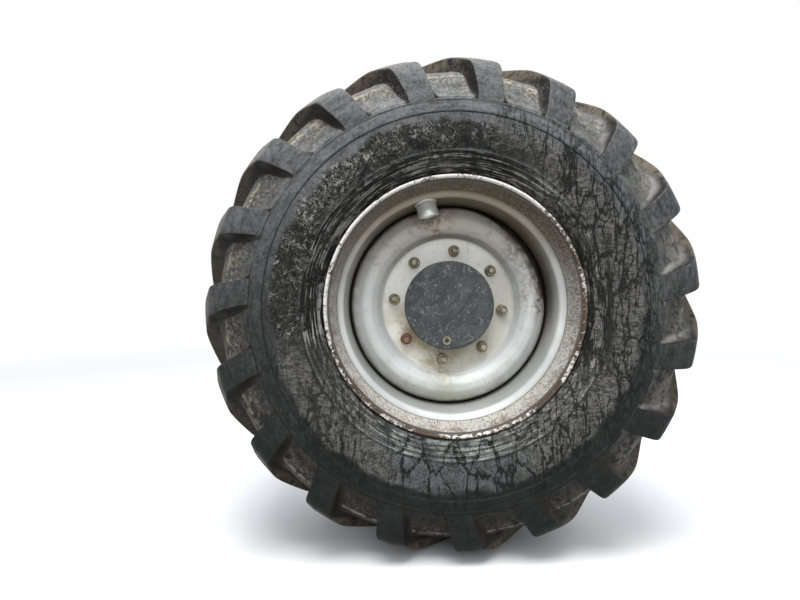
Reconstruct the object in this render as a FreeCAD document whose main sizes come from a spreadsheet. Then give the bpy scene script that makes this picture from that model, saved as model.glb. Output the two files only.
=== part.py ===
# A site dumper's wheel on its axle end: flotation tyre on a steel rim with a dished disc, held by eight
# studs to the rotating planetary hub, which runs on the spindle of a cast axle arm.
# Millimetres. +Y runs along the axle from the wheel inboard to the arm's flange, +Z is up, and the
# vehicle's front is +X. The origin is the centre of the arm's inboard flange face.
import FreeCAD, Part
import math
import os
import re
import Sketcher

doc = FreeCAD.newDocument("dumper_wheel")
sheet = doc.addObject("Spreadsheet::Sheet", "sizes")

# The driving sizes: name, value and what it measures.
sizes = [
    ("reach", 690, "arm flange face to the wheel's centre plane"),
    ("tyre_radius", 586, "lug tips at the crown"),
    ("casing_radius", 549, "tread floor at the crown"),
    ("shoulder_drop", 12, "fall of the tread floor from the crown to its edge"),
    ("tread_inset", 62, "widest place in to the edge of the tread floor"),
    ("shoulder_inset", 25, "widest place in to the middle of the shoulder"),
    ("shoulder_depth", 35, "edge of the tread floor down to the middle of the shoulder"),
    ("casing_half", 250, "half the tyre's section width"),
    ("bulge_radius", 429, "where the sidewall is widest"),
    ("flank_inset", 5, "widest place in to the middle of the lower sidewall"),
    ("flank_radius", 368, "radius of the middle of the lower sidewall"),
    ("casing_wall", 26, "thickness of the casing"),
    ("bead_width", 38, "bead, from heel to toe"),
    ("bead_height", 16, "height of the bead's toe"),
    ("bead_lap", 3, "rim flange up to where the sidewall starts"),
    ("bead_clear", 0.7, "gap between bead and rim"),
    ("casing_flats", 52, "flat facets round the casing"),
    ("lug_count", 19, "lugs on each side"),
    ("lug_start", 9.1, "angle of the first near lug, clockwise from the top as seen from outside"),
    ("lug_sweep", 25, "turn of a lug from its shoulder end to its centre end, degrees"),
    ("lug_half_end", 3.6, "half the angle that a lug spans at its shoulder end"),
    ("lug_half_centre", 2.7, "half the angle that a lug spans at its centre end"),
    ("lug_taper", 0.86, "width of a lug's top as a share of its root"),
    ("lug_overlap", 12, "how far a lug runs past the centre plane"),
    ("lug_inset", 3, "widest place in to a lug's shoulder face"),
    ("lug_foot", 467, "wheel axis to the foot of a lug's shoulder face"),
    ("lug_sink", 12, "how deep a lug's root lies in the casing"),
    ("rim_half", 218, "rim centre plane to the outer face of its flange"),
    ("rim_radius", 301, "outside radius of the rim flange"),
    ("rim_flange", 12, "thickness of the rim flange"),
    ("rim_wall", 6, "thickness of the rim barrel"),
    ("lip_bevel", 4, "bevel on the rim flange's edges"),
    ("seat_top", 294, "outside radius of the bead seat at the flange"),
    ("seat_under", 290, "inside radius of the barrel at the flange"),
    ("seat_foot", 275.5, "inside radius of the barrel at the foot of the bead seat"),
    ("seat_width", 67, "flange face to the foot of the bead seat"),
    ("ramp_foot", 260, "inside radius of the barrel at the foot of the ramp"),
    ("ramp_width", 100, "flange face to the foot of the ramp"),
    ("well_radius", 251, "inside radius of the well"),
    ("well_half", 48, "half the width of the well's floor"),
    ("disc_wall", 12, "thickness of the disc"),
    ("disc_face", 47, "wheel centre plane out to the disc's flat ring"),
    ("disc_ring", 164, "outside radius of the flat ring"),
    ("disc_crown", 86, "wheel centre plane out to the disc's crown"),
    ("crown_inner", 200, "radius where the crown starts"),
    ("crown_outer", 222, "radius where the crown ends"),
    ("disc_weld", 36, "wheel centre plane out to the disc's weld in the well"),
    ("disc_edge", 15, "width of the disc's edge in the well"),
    ("disc_lean", 6, "shift of the back's corners from the front's, for an even wall"),
    ("disc_bevel", 7, "bevel that softens the disc's bends"),
    ("disc_bore", 110.5, "radius of the disc's centre bore"),
    ("stud_circle", 137.5, "radius of the wheel stud circle"),
    ("stud_count", 8, "wheel studs"),
    ("stud_turn", 6, "angle of the first stud, clockwise from the top as seen from outside"),
    ("stud_radius", 10, "radius of a wheel stud"),
    ("stud_clear", 1.5, "radial clearance of a stud in the disc"),
    ("stud_fit", 0.1, "radial clearance of a stud in the hub's flange and in its nut"),
    ("stud_show", 8, "length of stud outside its nut"),
    ("nut_flats", 27, "wheel nut across flats"),
    ("nut_height", 20, "height of a wheel nut"),
    ("nut_collar", 17, "radius of the nut's collar"),
    ("nut_collar_height", 5, "height of the nut's collar"),
    ("stud_head", 15, "radius of a stud's head"),
    ("head_height", 9, "height of a stud's head"),
    ("hub_flange", 163, "radius of the hub's wheel flange"),
    ("hub_flange_wall", 20, "thickness of the hub's wheel flange"),
    ("hub_drum", 116, "radius of the planetary housing, inside the studs' heads"),
    ("hub_neck", 104, "radius of the hub's back end"),
    ("hub_bevel", 6, "bevel on the planetary housing's edge"),
    ("hub_back", 105, "wheel centre plane in to the hub's back end"),
    ("hub_drum_end", 72, "wheel centre plane in to the end of the planetary housing"),
    ("pilot_clear", 0.5, "radial clearance of the hub's nose in the disc bore"),
    ("nose_face", 80, "wheel centre plane out to the end of the hub's nose"),
    ("cover_wall", 9, "thickness of the hub's cover"),
    ("cover_bevel", 2, "bevel on the cover's edge"),
    ("plug_circle", 88, "radius at which the level plug sits"),
    ("plug_turn", 185, "angle of the level plug, clockwise from the top"),
    ("plug_radius", 11, "radius of the level plug"),
    ("plug_head", 3.5, "height of the plug's head"),
    ("plug_shank", 9, "radius of the plug's hole in the hub"),
    ("plug_depth", 14, "depth of the plug's hole in the hub"),
    ("plug_reach", 12, "length of the plug's shank"),
    ("plug_socket", 8, "depth of the plug's socket"),
    ("thread_fit", 0.2, "radial clearance of a threaded shank in its hole"),
    ("seat_fit", 0.3, "radial clearance of a plug or valve in its hole"),
    ("journal", 60, "radius of the spindle journal"),
    ("journal_clear", 0.05, "running clearance of the journal in the hub"),
    ("journal_end", 42, "wheel centre plane out to the spindle's tip"),
    ("tip_room", 8, "room between the spindle's tip and the bottom of the hub's bore"),
    ("run_gap", 6, "gap between what turns and what stands still"),
    ("seal_wall", 7, "thickness of the hub seal"),
    ("seal_bore", 64, "inside radius of the hub seal"),
    ("seal_rim", 98, "outside radius of the hub seal's free face"),
    ("seal_bevel", 4, "bevel on the hub seal's edge"),
    ("end_flange", 108, "radius of the spindle's and the arm's outer flanges"),
    ("end_flange_wall", 22, "thickness of the spindle's and the arm's outer flanges"),
    ("end_bolt_circle", 91, "radius of the circle of end bolts"),
    ("end_bolts", 10, "bolts between spindle and arm"),
    ("end_bolt_radius", 7, "radius of an end bolt"),
    ("end_bolt_flats", 21, "end bolt across flats"),
    ("end_bolt_head", 9, "height of an end bolt's head"),
    ("bolt_clear", 0.5, "radial clearance of a bolt in its hole"),
    ("arm_thin", 70, "outside radius of the arm behind its outer flange"),
    ("arm_thick", 98, "outside radius of the arm at its inboard flange"),
    ("arm_throat", 66, "arm's end to where its cone starts"),
    ("arm_collar", 55, "inboard flange to where the arm's cone starts"),
    ("arm_bore", 41, "inside radius of the arm"),
    ("arm_flange", 165, "radius of the arm's inboard flange"),
    ("arm_flange_wall", 26, "thickness of the arm's inboard flange"),
    ("flange_circle", 146, "radius of the inboard flange's bolt circle"),
    ("flange_bolts", 12, "bolts in the inboard flange"),
    ("flange_hole", 8.75, "radius of a hole in the inboard flange"),
    ("pilot_radius", 124, "radius of the locating spigot on the inboard flange"),
    ("pilot_length", 8, "length of the locating spigot"),
    ("rib_count", 6, "ribs between arm and inboard flange"),
    ("rib_wall", 14, "thickness of a rib"),
    ("rib_length", 110, "length of a rib along the arm"),
    ("rib_root", 60, "wheel axis to a rib's root"),
    ("rib_toe", 72, "wheel axis to a rib's thin end"),
    ("rib_head", 128, "wheel axis to the top of a rib at the flange"),
    ("rib_land", 4, "flat at the top of a rib"),
    ("pad_place", 235, "flange face to the middle of the chassis pad"),
    ("pad_long", 170, "chassis pad along the axle"),
    ("pad_wide", 180, "chassis pad across the axle"),
    ("pad_top", 122, "axle centre up to the chassis pad's face"),
    ("pad_wall", 30, "thickness of the chassis pad"),
    ("pad_neck", 130, "width of the block that carries the pad"),
    ("pad_inset", 8, "pad's edge to the block's edge"),
    ("pad_foot", 49, "axle centre up to the block's foot inside the arm's wall"),
    ("pad_hole_depth", 26, "depth of a tapped hole in the pad"),
    ("pad_hole", 10, "radius of a tapped hole in the pad"),
    ("pad_hole_long", 110, "pad holes, apart along the axle"),
    ("pad_hole_wide", 120, "pad holes, apart across the axle"),
    ("shaft_radius", 22.5, "radius of the half shaft"),
    ("shaft_clear", 0.05, "running clearance of the half shaft in its bush and seal"),
    ("shaft_show", 92, "length of the half shaft past the inboard flange"),
    ("shaft_room", 14, "radial room round the shaft in the spindle"),
    ("bush_length", 30, "length of the bush at the spindle's tip"),
    ("spline_length", 64, "length of the splines"),
    ("spline_count", 16, "spline teeth"),
    ("spline_depth", 2.6, "depth of a spline groove"),
    ("spline_groove", 4.2, "width of a spline groove"),
    ("spline_bevel", 2, "bevel on the half shaft's end"),
    ("arm_seal_wall", 12, "thickness of the shaft seal"),
    ("arm_seal_set", 6, "how far the shaft seal lies inside the spigot's face"),
    ("arm_seal_dish", 6, "width of the hollow in the shaft seal's face"),
    ("arm_seal_hollow", 4, "depth of the hollow in the shaft seal's face"),
    ("guard_turn", -14, "angle of the valve guard, clockwise from the top"),
    ("guard_place", 106, "wheel centre plane out to the valve guard"),
    ("guard_radius", 25, "outside radius of the valve guard"),
    ("guard_wall", 4.5, "wall of the valve guard"),
    ("guard_tip", 226, "wheel axis to the valve guard's open end"),
    ("valve_radius", 7.5, "radius of the valve's foot"),
    ("valve_stem", 4.2, "radius of the valve's stem"),
    ("valve_tip", 229, "wheel axis to the valve cap's end"),
    ("valve_foot", 9, "height of the valve's foot inside the barrel"),
    ("valve_inside", 14, "length of the valve's foot past the well's inner face"),
    ("cap_length", 9, "length of the valve's cap"),
    ("cap_wall", 1.2, "how far the cap stands out from the stem"),
    ("breather_place", 118, "flange face to the breather"),
    ("drain_place", 130, "arm's outer end to the drain plug"),
    ("fitting_radius", 8, "radius of the breather's and the drain plug's threads"),
    ("fitting_flats", 22, "breather and drain plug across flats"),
    ("fitting_fit", 0.1, "radial clearance of a fitting's thread in the arm"),
    ("fitting_depth", 14, "length of a fitting's thread"),
    ("fitting_proud", 2, "arm's skin to the seat of a fitting's hexagon"),
    ("breather_hex", 8, "height of the breather's hexagon"),
    ("breather_cap", 14, "height of the breather's cap"),
    ("drain_head", 10, "height of the drain plug's head"),
]
for row, (name, value, meaning) in enumerate(sizes, start=1):
    sheet.set("A%d" % row, str(value))
    sheet.setAlias("A%d" % row, name)
    sheet.set("B%d" % row, meaning)
doc.recompute()

names = {name for name, value, meaning in sizes}


def linked(text):
    """The expression with every size name pointed at the sheet."""
    return re.sub(r"[a-z_]+", lambda found: "sizes." + found[0] if found[0] in names else found[0], text)


def size(text):
    """The number that an expression gives."""
    return float(sheet.evalExpression(linked(text)))


def new_body(label, at_wheel):
    """An empty body. A wheel piece is drawn about the wheel's centre plane and set out by the reach."""
    body = doc.addObject("PartDesign::Body", label)
    body.Label = label
    if at_wheel:
        body.setExpression("Placement.Base.y", linked("-reach"))
    return body


def origin_feature(body, role):
    return next(item for item in body.Origin.OriginFeatures if item.Role == role)


def outline(body, name, plane, corners, lift=None):
    """A closed sketch of straight lines through corners, each a pair of expressions."""
    sketch = body.newObject("Sketcher::SketchObject", name)
    sketch.AttachmentSupport = [(origin_feature(body, plane), "")]
    sketch.MapMode = "FlatFace"
    if lift:
        sketch.setExpression("AttachmentOffset.Base.z", linked(lift))
    spots = [FreeCAD.Vector(size(across), size(up), 0) for across, up in corners]
    for here, there in zip(spots, spots[1:] + spots[:1]):
        sketch.addGeometry(Part.LineSegment(here, there), False)
    for index in range(len(spots)):
        after = (index + 1) % len(spots)
        sketch.addConstraint(Sketcher.Constraint("Coincident", index, 2, after, 1))
    for index, (across, up) in enumerate(corners):
        for kind, text, value in (("DistanceX", across, spots[index].x), ("DistanceY", up, spots[index].y)):
            spot = sketch.addConstraint(Sketcher.Constraint(kind, -1, 1, index, 1, value))
            sketch.setExpression("Constraints[%d]" % spot, linked(text))
    return sketch


def circles(body, name, plane, rings, lift=None):
    """A sketch of circles, each (across, up, radius) in expressions."""
    sketch = body.newObject("Sketcher::SketchObject", name)
    sketch.AttachmentSupport = [(origin_feature(body, plane), "")]
    sketch.MapMode = "FlatFace"
    if lift:
        sketch.setExpression("AttachmentOffset.Base.z", linked(lift))
    for index, (across, up, radius) in enumerate(rings):
        centre = FreeCAD.Vector(size(across), size(up), 0)
        sketch.addGeometry(Part.Circle(centre, FreeCAD.Vector(0, 0, 1), size(radius)), False)
        for kind, text, value in (("DistanceX", across, centre.x), ("DistanceY", up, centre.y)):
            spot = sketch.addConstraint(Sketcher.Constraint(kind, -1, 1, index, 3, value))
            sketch.setExpression("Constraints[%d]" % spot, linked(text))
        spot = sketch.addConstraint(Sketcher.Constraint("Radius", index, size(radius)))
        sketch.setExpression("Constraints[%d]" % spot, linked(radius))
    return sketch


def turned(body, name, corners):
    """A solid of revolution about Y. Corners are (along the axle, radius)."""
    sketch = outline(body, name + "_outline", "YZ_Plane", corners)
    feature = body.newObject("PartDesign::Revolution", name)
    feature.Profile = sketch
    feature.ReferenceAxis = (sketch, ["H_Axis"])
    feature.Angle = 360
    body.Tip = feature
    doc.recompute()
    return feature


def pushed(body, name, kind, sketch, length, both=False, back=False):
    """A pad or pocket of a sketch, of the length that an expression gives."""
    feature = body.newObject("PartDesign::" + kind, name)
    feature.Profile = sketch
    feature.setExpression("Length", linked(length))
    feature.Midplane = both
    feature.Reversed = back
    body.Tip = feature
    doc.recompute()
    return feature


def ringed(body, name, feature, count, axis="Y_Axis"):
    """A polar pattern of a feature, all the way round."""
    pattern = body.newObject("PartDesign::PolarPattern", name)
    pattern.Originals = [feature]
    pattern.Axis = (origin_feature(body, axis), [""])
    pattern.Angle = 360
    pattern.setExpression("Occurrences", linked(count))
    body.Tip = pattern
    doc.recompute()
    return pattern


def beveled(body, name, width, rings):
    """A chamfer on the circular edges named by (along the axle, radius)."""
    base = body.Tip
    wanted = [(size(along), size(around)) for along, around in rings]
    picked = []
    for index, edge in enumerate(base.Shape.Edges, start=1):
        if isinstance(edge.Curve, Part.Circle):
            place = (edge.Curve.Center.y, edge.Curve.Radius)
            if any(math.dist(place, spot) < 0.01 for spot in wanted):
                picked.append("Edge%d" % index)
    feature = body.newObject("PartDesign::Chamfer", name)
    feature.Base = (base, picked)
    feature.setExpression("Size", linked(width))
    body.Tip = feature
    doc.recompute()
    return feature


def spot_on_ring(radius, turn):
    """Sketch coordinates on the XZ plane of a point on a ring, its angle clockwise from the top."""
    return "%s * sin(%s)" % (radius, turn), "%s * cos(%s)" % (radius, turn)


def hexagon(body, name, plane, across, up, flats, lift=None):
    """A regular hexagon whose distance across flats is given."""
    corners = []
    for step in range(6):
        angle = 60 * step
        corners.append((
            "%s + %s / sqrt(3) * cos(%d)" % (across, flats, angle),
            "%s + %s / sqrt(3) * sin(%d)" % (up, flats, angle),
        ))
    return outline(body, name, plane, corners, lift)


subparts = []


def finished(label, item):
    subparts.append((label, item))


# Rim: a symmetrical drop-centre barrel with rolled flanges.
rim = new_body("rim", True)
inner_side = [
    ("well_half", "well_radius"),
    ("rim_half - ramp_width", "ramp_foot"),
    ("rim_half - seat_width", "seat_foot"),
    ("rim_half - lip_bevel", "seat_under"),
    ("rim_half", "seat_under + lip_bevel"),
    ("rim_half", "rim_radius - lip_bevel"),
    ("rim_half - lip_bevel", "rim_radius"),
    ("rim_half - rim_flange", "rim_radius"),
    ("rim_half - rim_flange", "seat_top"),
    ("rim_half - seat_width", "seat_foot + rim_wall"),
    ("rim_half - ramp_width", "ramp_foot + rim_wall"),
    ("well_half", "well_radius + rim_wall"),
]


def mirrored(corners):
    return [("-(%s)" % along, radius) for along, radius in reversed(corners)]


turned(rim, "rim_barrel", inner_side + mirrored(inner_side))
hole = circles(rim, "valve_hole_outline", "XY_Plane", [("0", "-guard_place", "valve_radius + seat_fit")])
pushed(rim, "valve_hole", "Pocket", hole, "2 * rim_radius", back=True)
rim.setExpression("Placement.Rotation.Angle", linked("guard_turn"))
rim.Placement.Rotation.Axis = FreeCAD.Vector(0, 1, 0)
finished("rim", rim)

# Disc: dished plate with a flat bolting ring, a crown towards the outside and its edge in the well.
disc = new_body("wheel_disc", True)
turned(disc, "disc_plate", [
    ("-disc_face", "disc_bore"),
    ("-disc_face", "disc_ring"),
    ("-disc_crown", "crown_inner"),
    ("-disc_crown", "crown_outer"),
    ("-disc_weld", "well_radius"),
    ("-disc_weld + disc_edge", "well_radius"),
    ("-disc_crown + disc_wall", "crown_outer - disc_lean"),
    ("-disc_crown + disc_wall", "crown_inner + disc_lean"),
    ("-disc_face + disc_wall", "disc_ring + disc_lean"),
    ("-disc_face + disc_wall", "disc_bore"),
])
beveled(disc, "disc_bends", "disc_bevel", [
    ("-disc_face", "disc_ring"),
    ("-disc_crown", "crown_inner"),
    ("-disc_crown", "crown_outer"),
])
stud_spot = spot_on_ring("stud_circle", "stud_turn")
hole = circles(disc, "stud_hole_outline", "XZ_Plane", [stud_spot + ("stud_radius + stud_clear",)])
hole = pushed(disc, "stud_hole", "Pocket", hole, "4 * disc_crown", both=True)
ringed(disc, "stud_holes", hole, "stud_count")
finished("wheel_disc", disc)

# Valve guard: a short tube that stands on the barrel towards the axle, its foot cut to the barrel.
guard_outer = doc.addObject("Part::Cylinder", "guard_outer")
guard_inner = doc.addObject("Part::Cylinder", "guard_inner")
for tube, radius in ((guard_outer, "guard_radius"), (guard_inner, "guard_radius - guard_wall")):
    tube.setExpression("Radius", linked(radius))
    tube.setExpression("Height", linked("seat_foot - guard_tip"))
    tube.setExpression("Placement.Base.y", linked("-guard_place"))
    tube.setExpression("Placement.Base.z", linked("guard_tip"))
guard_tube = doc.addObject("Part::Cut", "guard_tube")
guard_tube.Base = guard_outer
guard_tube.Tool = guard_inner
well_room = new_body("well_room", False)
turned(well_room, "well_space", [
    ("-well_half", "0"),
    ("-(rim_half - seat_width)", "0"),
    ("-(rim_half - seat_width)", "seat_foot"),
    ("-(rim_half - ramp_width)", "ramp_foot"),
    ("-well_half", "well_radius"),
])
guard = doc.addObject("Part::Common", "valve_guard")
guard.Base = guard_tube
guard.Tool = well_room
guard.setExpression("Placement.Base.y", linked("-reach"))
guard.setExpression("Placement.Rotation.Angle", linked("guard_turn"))
guard.Placement.Rotation.Axis = FreeCAD.Vector(0, 1, 0)
finished("valve_guard", guard)

# Valve: a foot that fills the hole in the barrel, the stem and its cap.
valve = new_body("valve", False)
valve_outline = outline(valve, "valve_outline", "XZ_Plane", [
    ("0", "well_radius + valve_inside"),
    ("valve_radius", "well_radius + valve_inside"),
    ("valve_radius", "well_radius - valve_foot"),
    ("valve_stem", "well_radius - valve_foot"),
    ("valve_stem", "valve_tip + cap_length"),
    ("valve_stem + cap_wall", "valve_tip + cap_length"),
    ("valve_stem + cap_wall", "valve_tip + cap_wall"),
    ("valve_stem", "valve_tip"),
    ("0", "valve_tip"),
])
valve_turn = valve.newObject("PartDesign::Revolution", "valve_turn")
valve_turn.Profile = valve_outline
valve_turn.ReferenceAxis = (valve_outline, ["V_Axis"])
valve_turn.Angle = 360
valve.Tip = valve_turn
valve.setExpression("Placement.Base.y", linked("-reach - guard_place"))
valve.setExpression("Placement.Rotation.Angle", linked("guard_turn"))
valve.Placement.Rotation.Axis = FreeCAD.Vector(0, 1, 0)
finished("valve", valve)

# Wheel studs and their nuts.
studs = new_body("wheel_studs", True)
shank = circles(studs, "shank_outline", "XZ_Plane", [stud_spot + ("stud_radius",)],
                "disc_face + nut_height + stud_show")
shank = pushed(studs, "shank", "Pad", shank,
               "nut_height + stud_show + disc_wall + hub_flange_wall", back=True)
ringed(studs, "shanks", shank, "stud_count")
heads = circles(studs, "head_outline", "XZ_Plane", [stud_spot + ("stud_head",)],
                "disc_face - disc_wall - hub_flange_wall")
heads = pushed(studs, "stud_heads_one", "Pad", heads, "head_height", back=True)
ringed(studs, "stud_heads", heads, "stud_count")
finished("wheel_studs", studs)

nuts = new_body("wheel_nuts", True)
nut_place = "disc_face + nut_height"
collar = circles(nuts, "collar_outline", "XZ_Plane", [stud_spot + ("nut_collar",)], "disc_face")
collar = pushed(nuts, "nut_collar", "Pad", collar, "nut_collar_height")
ringed(nuts, "nut_collars", collar, "stud_count")
hex_outline = hexagon(nuts, "nut_outline", "XZ_Plane", stud_spot[0], stud_spot[1], "nut_flats", "disc_face")
nut = pushed(nuts, "nut", "Pad", hex_outline, "nut_height")
ringed(nuts, "nuts", nut, "stud_count")
thread = circles(nuts, "nut_bore_outline", "XZ_Plane", [stud_spot + ("stud_radius + stud_fit",)], "disc_face")
thread = pushed(nuts, "nut_bore", "Pocket", thread, "4 * nut_height", both=True)
ringed(nuts, "nut_bores", thread, "stud_count")
finished("wheel_nuts", nuts)

# Hub: planetary housing with the wheel flange, its nose through the disc and a blind bore for the spindle.
hub = new_body("hub", True)
turned(hub, "hub_casting", [
    ("hub_back", "journal + journal_clear"),
    ("-(journal_end + tip_room)", "journal + journal_clear"),
    ("-(journal_end + tip_room)", "0"),
    ("-nose_face", "0"),
    ("-nose_face", "disc_bore - pilot_clear"),
    ("disc_wall - disc_face", "disc_bore - pilot_clear"),
    ("disc_wall - disc_face", "hub_flange"),
    ("disc_wall - disc_face + hub_flange_wall", "hub_flange"),
    ("disc_wall - disc_face + hub_flange_wall", "hub_drum"),
    ("hub_drum_end", "hub_drum"),
    ("hub_drum_end + hub_bevel", "hub_neck"),
    ("hub_back", "hub_neck"),
])
hole = circles(hub, "hub_hole_outline", "XZ_Plane", [stud_spot + ("stud_radius + stud_fit",)],
               "disc_face - disc_wall")
hole = pushed(hub, "hub_hole", "Pocket", hole, "hub_flange_wall")
ringed(hub, "hub_holes", hole, "stud_count")
plug_spot = spot_on_ring("plug_circle", "plug_turn")
hole = circles(hub, "plug_hole_outline", "XZ_Plane", [plug_spot + ("plug_shank",)], "nose_face")
pushed(hub, "plug_hole", "Pocket", hole, "plug_depth")
finished("hub", hub)

cover = new_body("hub_cover", True)
turned(cover, "cover_plate", [
    ("-nose_face", "0"),
    ("-(nose_face + cover_wall)", "0"),
    ("-(nose_face + cover_wall)", "disc_bore - pilot_clear"),
    ("-nose_face", "disc_bore - pilot_clear"),
])
beveled(cover, "cover_edge", "cover_bevel", [("-(nose_face + cover_wall)", "disc_bore - pilot_clear")])
hole = circles(cover, "cover_hole_outline", "XZ_Plane", [plug_spot + ("plug_radius + seat_fit",)],
               "nose_face + cover_wall")
pushed(cover, "cover_hole", "Pocket", hole, "cover_wall")
finished("hub_cover", cover)

plug = new_body("hub_plug", True)
head = circles(plug, "plug_head_outline", "XZ_Plane", [plug_spot + ("plug_radius",)], "nose_face")
pushed(plug, "plug_head_pad", "Pad", head, "cover_wall + plug_head")
shank = circles(plug, "plug_shank_outline", "XZ_Plane", [plug_spot + ("plug_shank - thread_fit",)],
                "nose_face")
pushed(plug, "plug_shank", "Pad", shank, "plug_reach", back=True)
socket = hexagon(plug, "plug_socket_outline", "XZ_Plane", plug_spot[0], plug_spot[1], "plug_radius",
                 "nose_face + cover_wall + plug_head")
pushed(plug, "plug_socket", "Pocket", socket, "plug_socket")
finished("hub_plug", plug)

hub_seal = new_body("hub_seal", True)
turned(hub_seal, "hub_seal_ring", [
    ("hub_back", "seal_bore"),
    ("hub_back + seal_wall", "seal_bore"),
    ("hub_back + seal_wall", "seal_rim"),
    ("hub_back", "seal_rim + seal_bevel"),
])
finished("hub_seal", hub_seal)

# Spindle: the hollow journal that the hub runs on, with a bush for the half shaft in its tip.
spindle = new_body("spindle", True)
spindle_face = "hub_back + seal_wall + run_gap"
turned(spindle, "spindle_forging", [
    ("-journal_end", "shaft_radius + shaft_clear"),
    ("-journal_end", "journal"),
    (spindle_face, "journal"),
    (spindle_face, "end_flange"),
    (spindle_face + " + end_flange_wall", "end_flange"),
    (spindle_face + " + end_flange_wall", "shaft_radius + shaft_room"),
    ("bush_length - journal_end", "shaft_radius + shaft_room"),
    ("bush_length - journal_end", "shaft_radius + shaft_clear"),
])
end_spot = spot_on_ring("end_bolt_circle", "0")
hole = circles(spindle, "end_hole_outline", "XZ_Plane", [end_spot + ("end_bolt_radius + bolt_clear",)],
               "-(%s)" % spindle_face)
hole = pushed(spindle, "end_hole", "Pocket", hole, "end_flange_wall")
ringed(spindle, "end_holes", hole, "end_bolts")
finished("spindle", spindle)

# Axle arm: conical casting between the spindle's flange and the inboard flange, with the chassis pad on top.
arm = new_body("axle_arm", False)
arm_end = "(reach - (%s) - end_flange_wall)" % spindle_face
drain_spot = "(%s - drain_place)" % arm_end
turned(arm, "arm_casting", [
    ("-%s" % arm_end, "arm_bore"),
    ("-%s" % arm_end, "end_flange"),
    ("-%s + end_flange_wall" % arm_end, "end_flange"),
    ("-%s + end_flange_wall" % arm_end, "arm_thin"),
    ("-%s + arm_throat" % arm_end, "arm_thin"),
    ("-arm_flange_wall - arm_collar", "arm_thick"),
    ("-arm_flange_wall", "arm_thick"),
    ("-arm_flange_wall", "arm_flange"),
    ("0", "arm_flange"),
    ("0", "pilot_radius"),
    ("pilot_length", "pilot_radius"),
    ("pilot_length", "arm_bore"),
])
rib = outline(arm, "rib_outline", "YZ_Plane", [
    ("-arm_flange_wall", "rib_root"),
    ("-arm_flange_wall - rib_length", "rib_root"),
    ("-arm_flange_wall - rib_length", "rib_toe"),
    ("-arm_flange_wall - rib_land", "rib_head"),
    ("-arm_flange_wall", "rib_head"),
])
rib = pushed(arm, "rib", "Pad", rib, "rib_wall", both=True)
ringed(arm, "ribs", rib, "rib_count")
block = outline(arm, "pad_block_outline", "XY_Plane", [
    ("-pad_neck / 2", "-pad_place - pad_long / 2 + pad_inset"),
    ("pad_neck / 2", "-pad_place - pad_long / 2 + pad_inset"),
    ("pad_neck / 2", "-pad_place + pad_long / 2 - pad_inset"),
    ("-pad_neck / 2", "-pad_place + pad_long / 2 - pad_inset"),
], "pad_foot")
pushed(arm, "pad_block", "Pad", block, "pad_top - pad_foot - pad_wall / 2")
plate = outline(arm, "pad_plate_outline", "XY_Plane", [
    ("-pad_wide / 2", "-pad_place - pad_long / 2"),
    ("pad_wide / 2", "-pad_place - pad_long / 2"),
    ("pad_wide / 2", "-pad_place + pad_long / 2"),
    ("-pad_wide / 2", "-pad_place + pad_long / 2"),
], "pad_top")
pushed(arm, "pad_plate", "Pad", plate, "pad_wall", back=True)
pad_holes = circles(arm, "pad_hole_outline", "XY_Plane", [
    ("%s * pad_hole_wide / 2" % across, "%s * pad_hole_long / 2 - pad_place" % along, "pad_hole")
    for across in (-1, 1) for along in (-1, 1)
], "pad_top")
pushed(arm, "pad_holes", "Pocket", pad_holes, "pad_hole_depth")
hole = circles(arm, "flange_hole_outline", "XZ_Plane",
               [spot_on_ring("flange_circle", "180 / flange_bolts") + ("flange_hole",)])
hole = pushed(arm, "flange_hole", "Pocket", hole, "3 * arm_flange_wall", both=True)
ringed(arm, "flange_holes", hole, "flange_bolts")
hole = circles(arm, "arm_end_hole_outline", "XZ_Plane", [end_spot + ("end_bolt_radius + bolt_clear",)],
               arm_end)
hole = pushed(arm, "arm_end_hole", "Pocket", hole, "end_flange_wall")
ringed(arm, "arm_end_holes", hole, "end_bolts")
thread = circles(arm, "breather_hole_outline", "XY_Plane", [("0", "-breather_place", "fitting_radius")])
pushed(arm, "breather_hole", "Pocket", thread, "2 * arm_flange", back=True)
thread = circles(arm, "drain_hole_outline", "XY_Plane", [("0", "-" + drain_spot, "fitting_radius")])
pushed(arm, "drain_hole", "Pocket", thread, "2 * arm_flange")
finished("axle_arm", arm)

bolts = new_body("end_bolts", True)
shank = circles(bolts, "bolt_shank_outline", "XZ_Plane", [end_spot + ("end_bolt_radius",)],
                "-(%s)" % spindle_face)
shank = pushed(bolts, "bolt_shank", "Pad", shank, "2 * end_flange_wall", back=True)
ringed(bolts, "bolt_shanks", shank, "end_bolts")
head = hexagon(bolts, "bolt_head_outline", "XZ_Plane", end_spot[0], end_spot[1], "end_bolt_flats",
               "-(%s + 2 * end_flange_wall)" % spindle_face)
head = pushed(bolts, "bolt_head", "Pad", head, "end_bolt_head", back=True)
ringed(bolts, "bolt_heads", head, "end_bolts")
finished("end_bolts", bolts)

# Half shaft: splined at its inboard end, carried by the bush in the spindle and by the seal in the arm.
arm_seal = new_body("arm_seal", False)
turned(arm_seal, "arm_seal_ring", [
    ("pilot_length - arm_seal_set - arm_seal_wall", "shaft_radius + shaft_clear"),
    ("pilot_length - arm_seal_set - arm_seal_wall", "arm_bore"),
    ("pilot_length - arm_seal_set", "arm_bore"),
    ("pilot_length - arm_seal_set", "shaft_radius + arm_seal_dish"),
    ("pilot_length - arm_seal_set - arm_seal_hollow", "shaft_radius + shaft_clear"),
])
finished("arm_seal", arm_seal)

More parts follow.
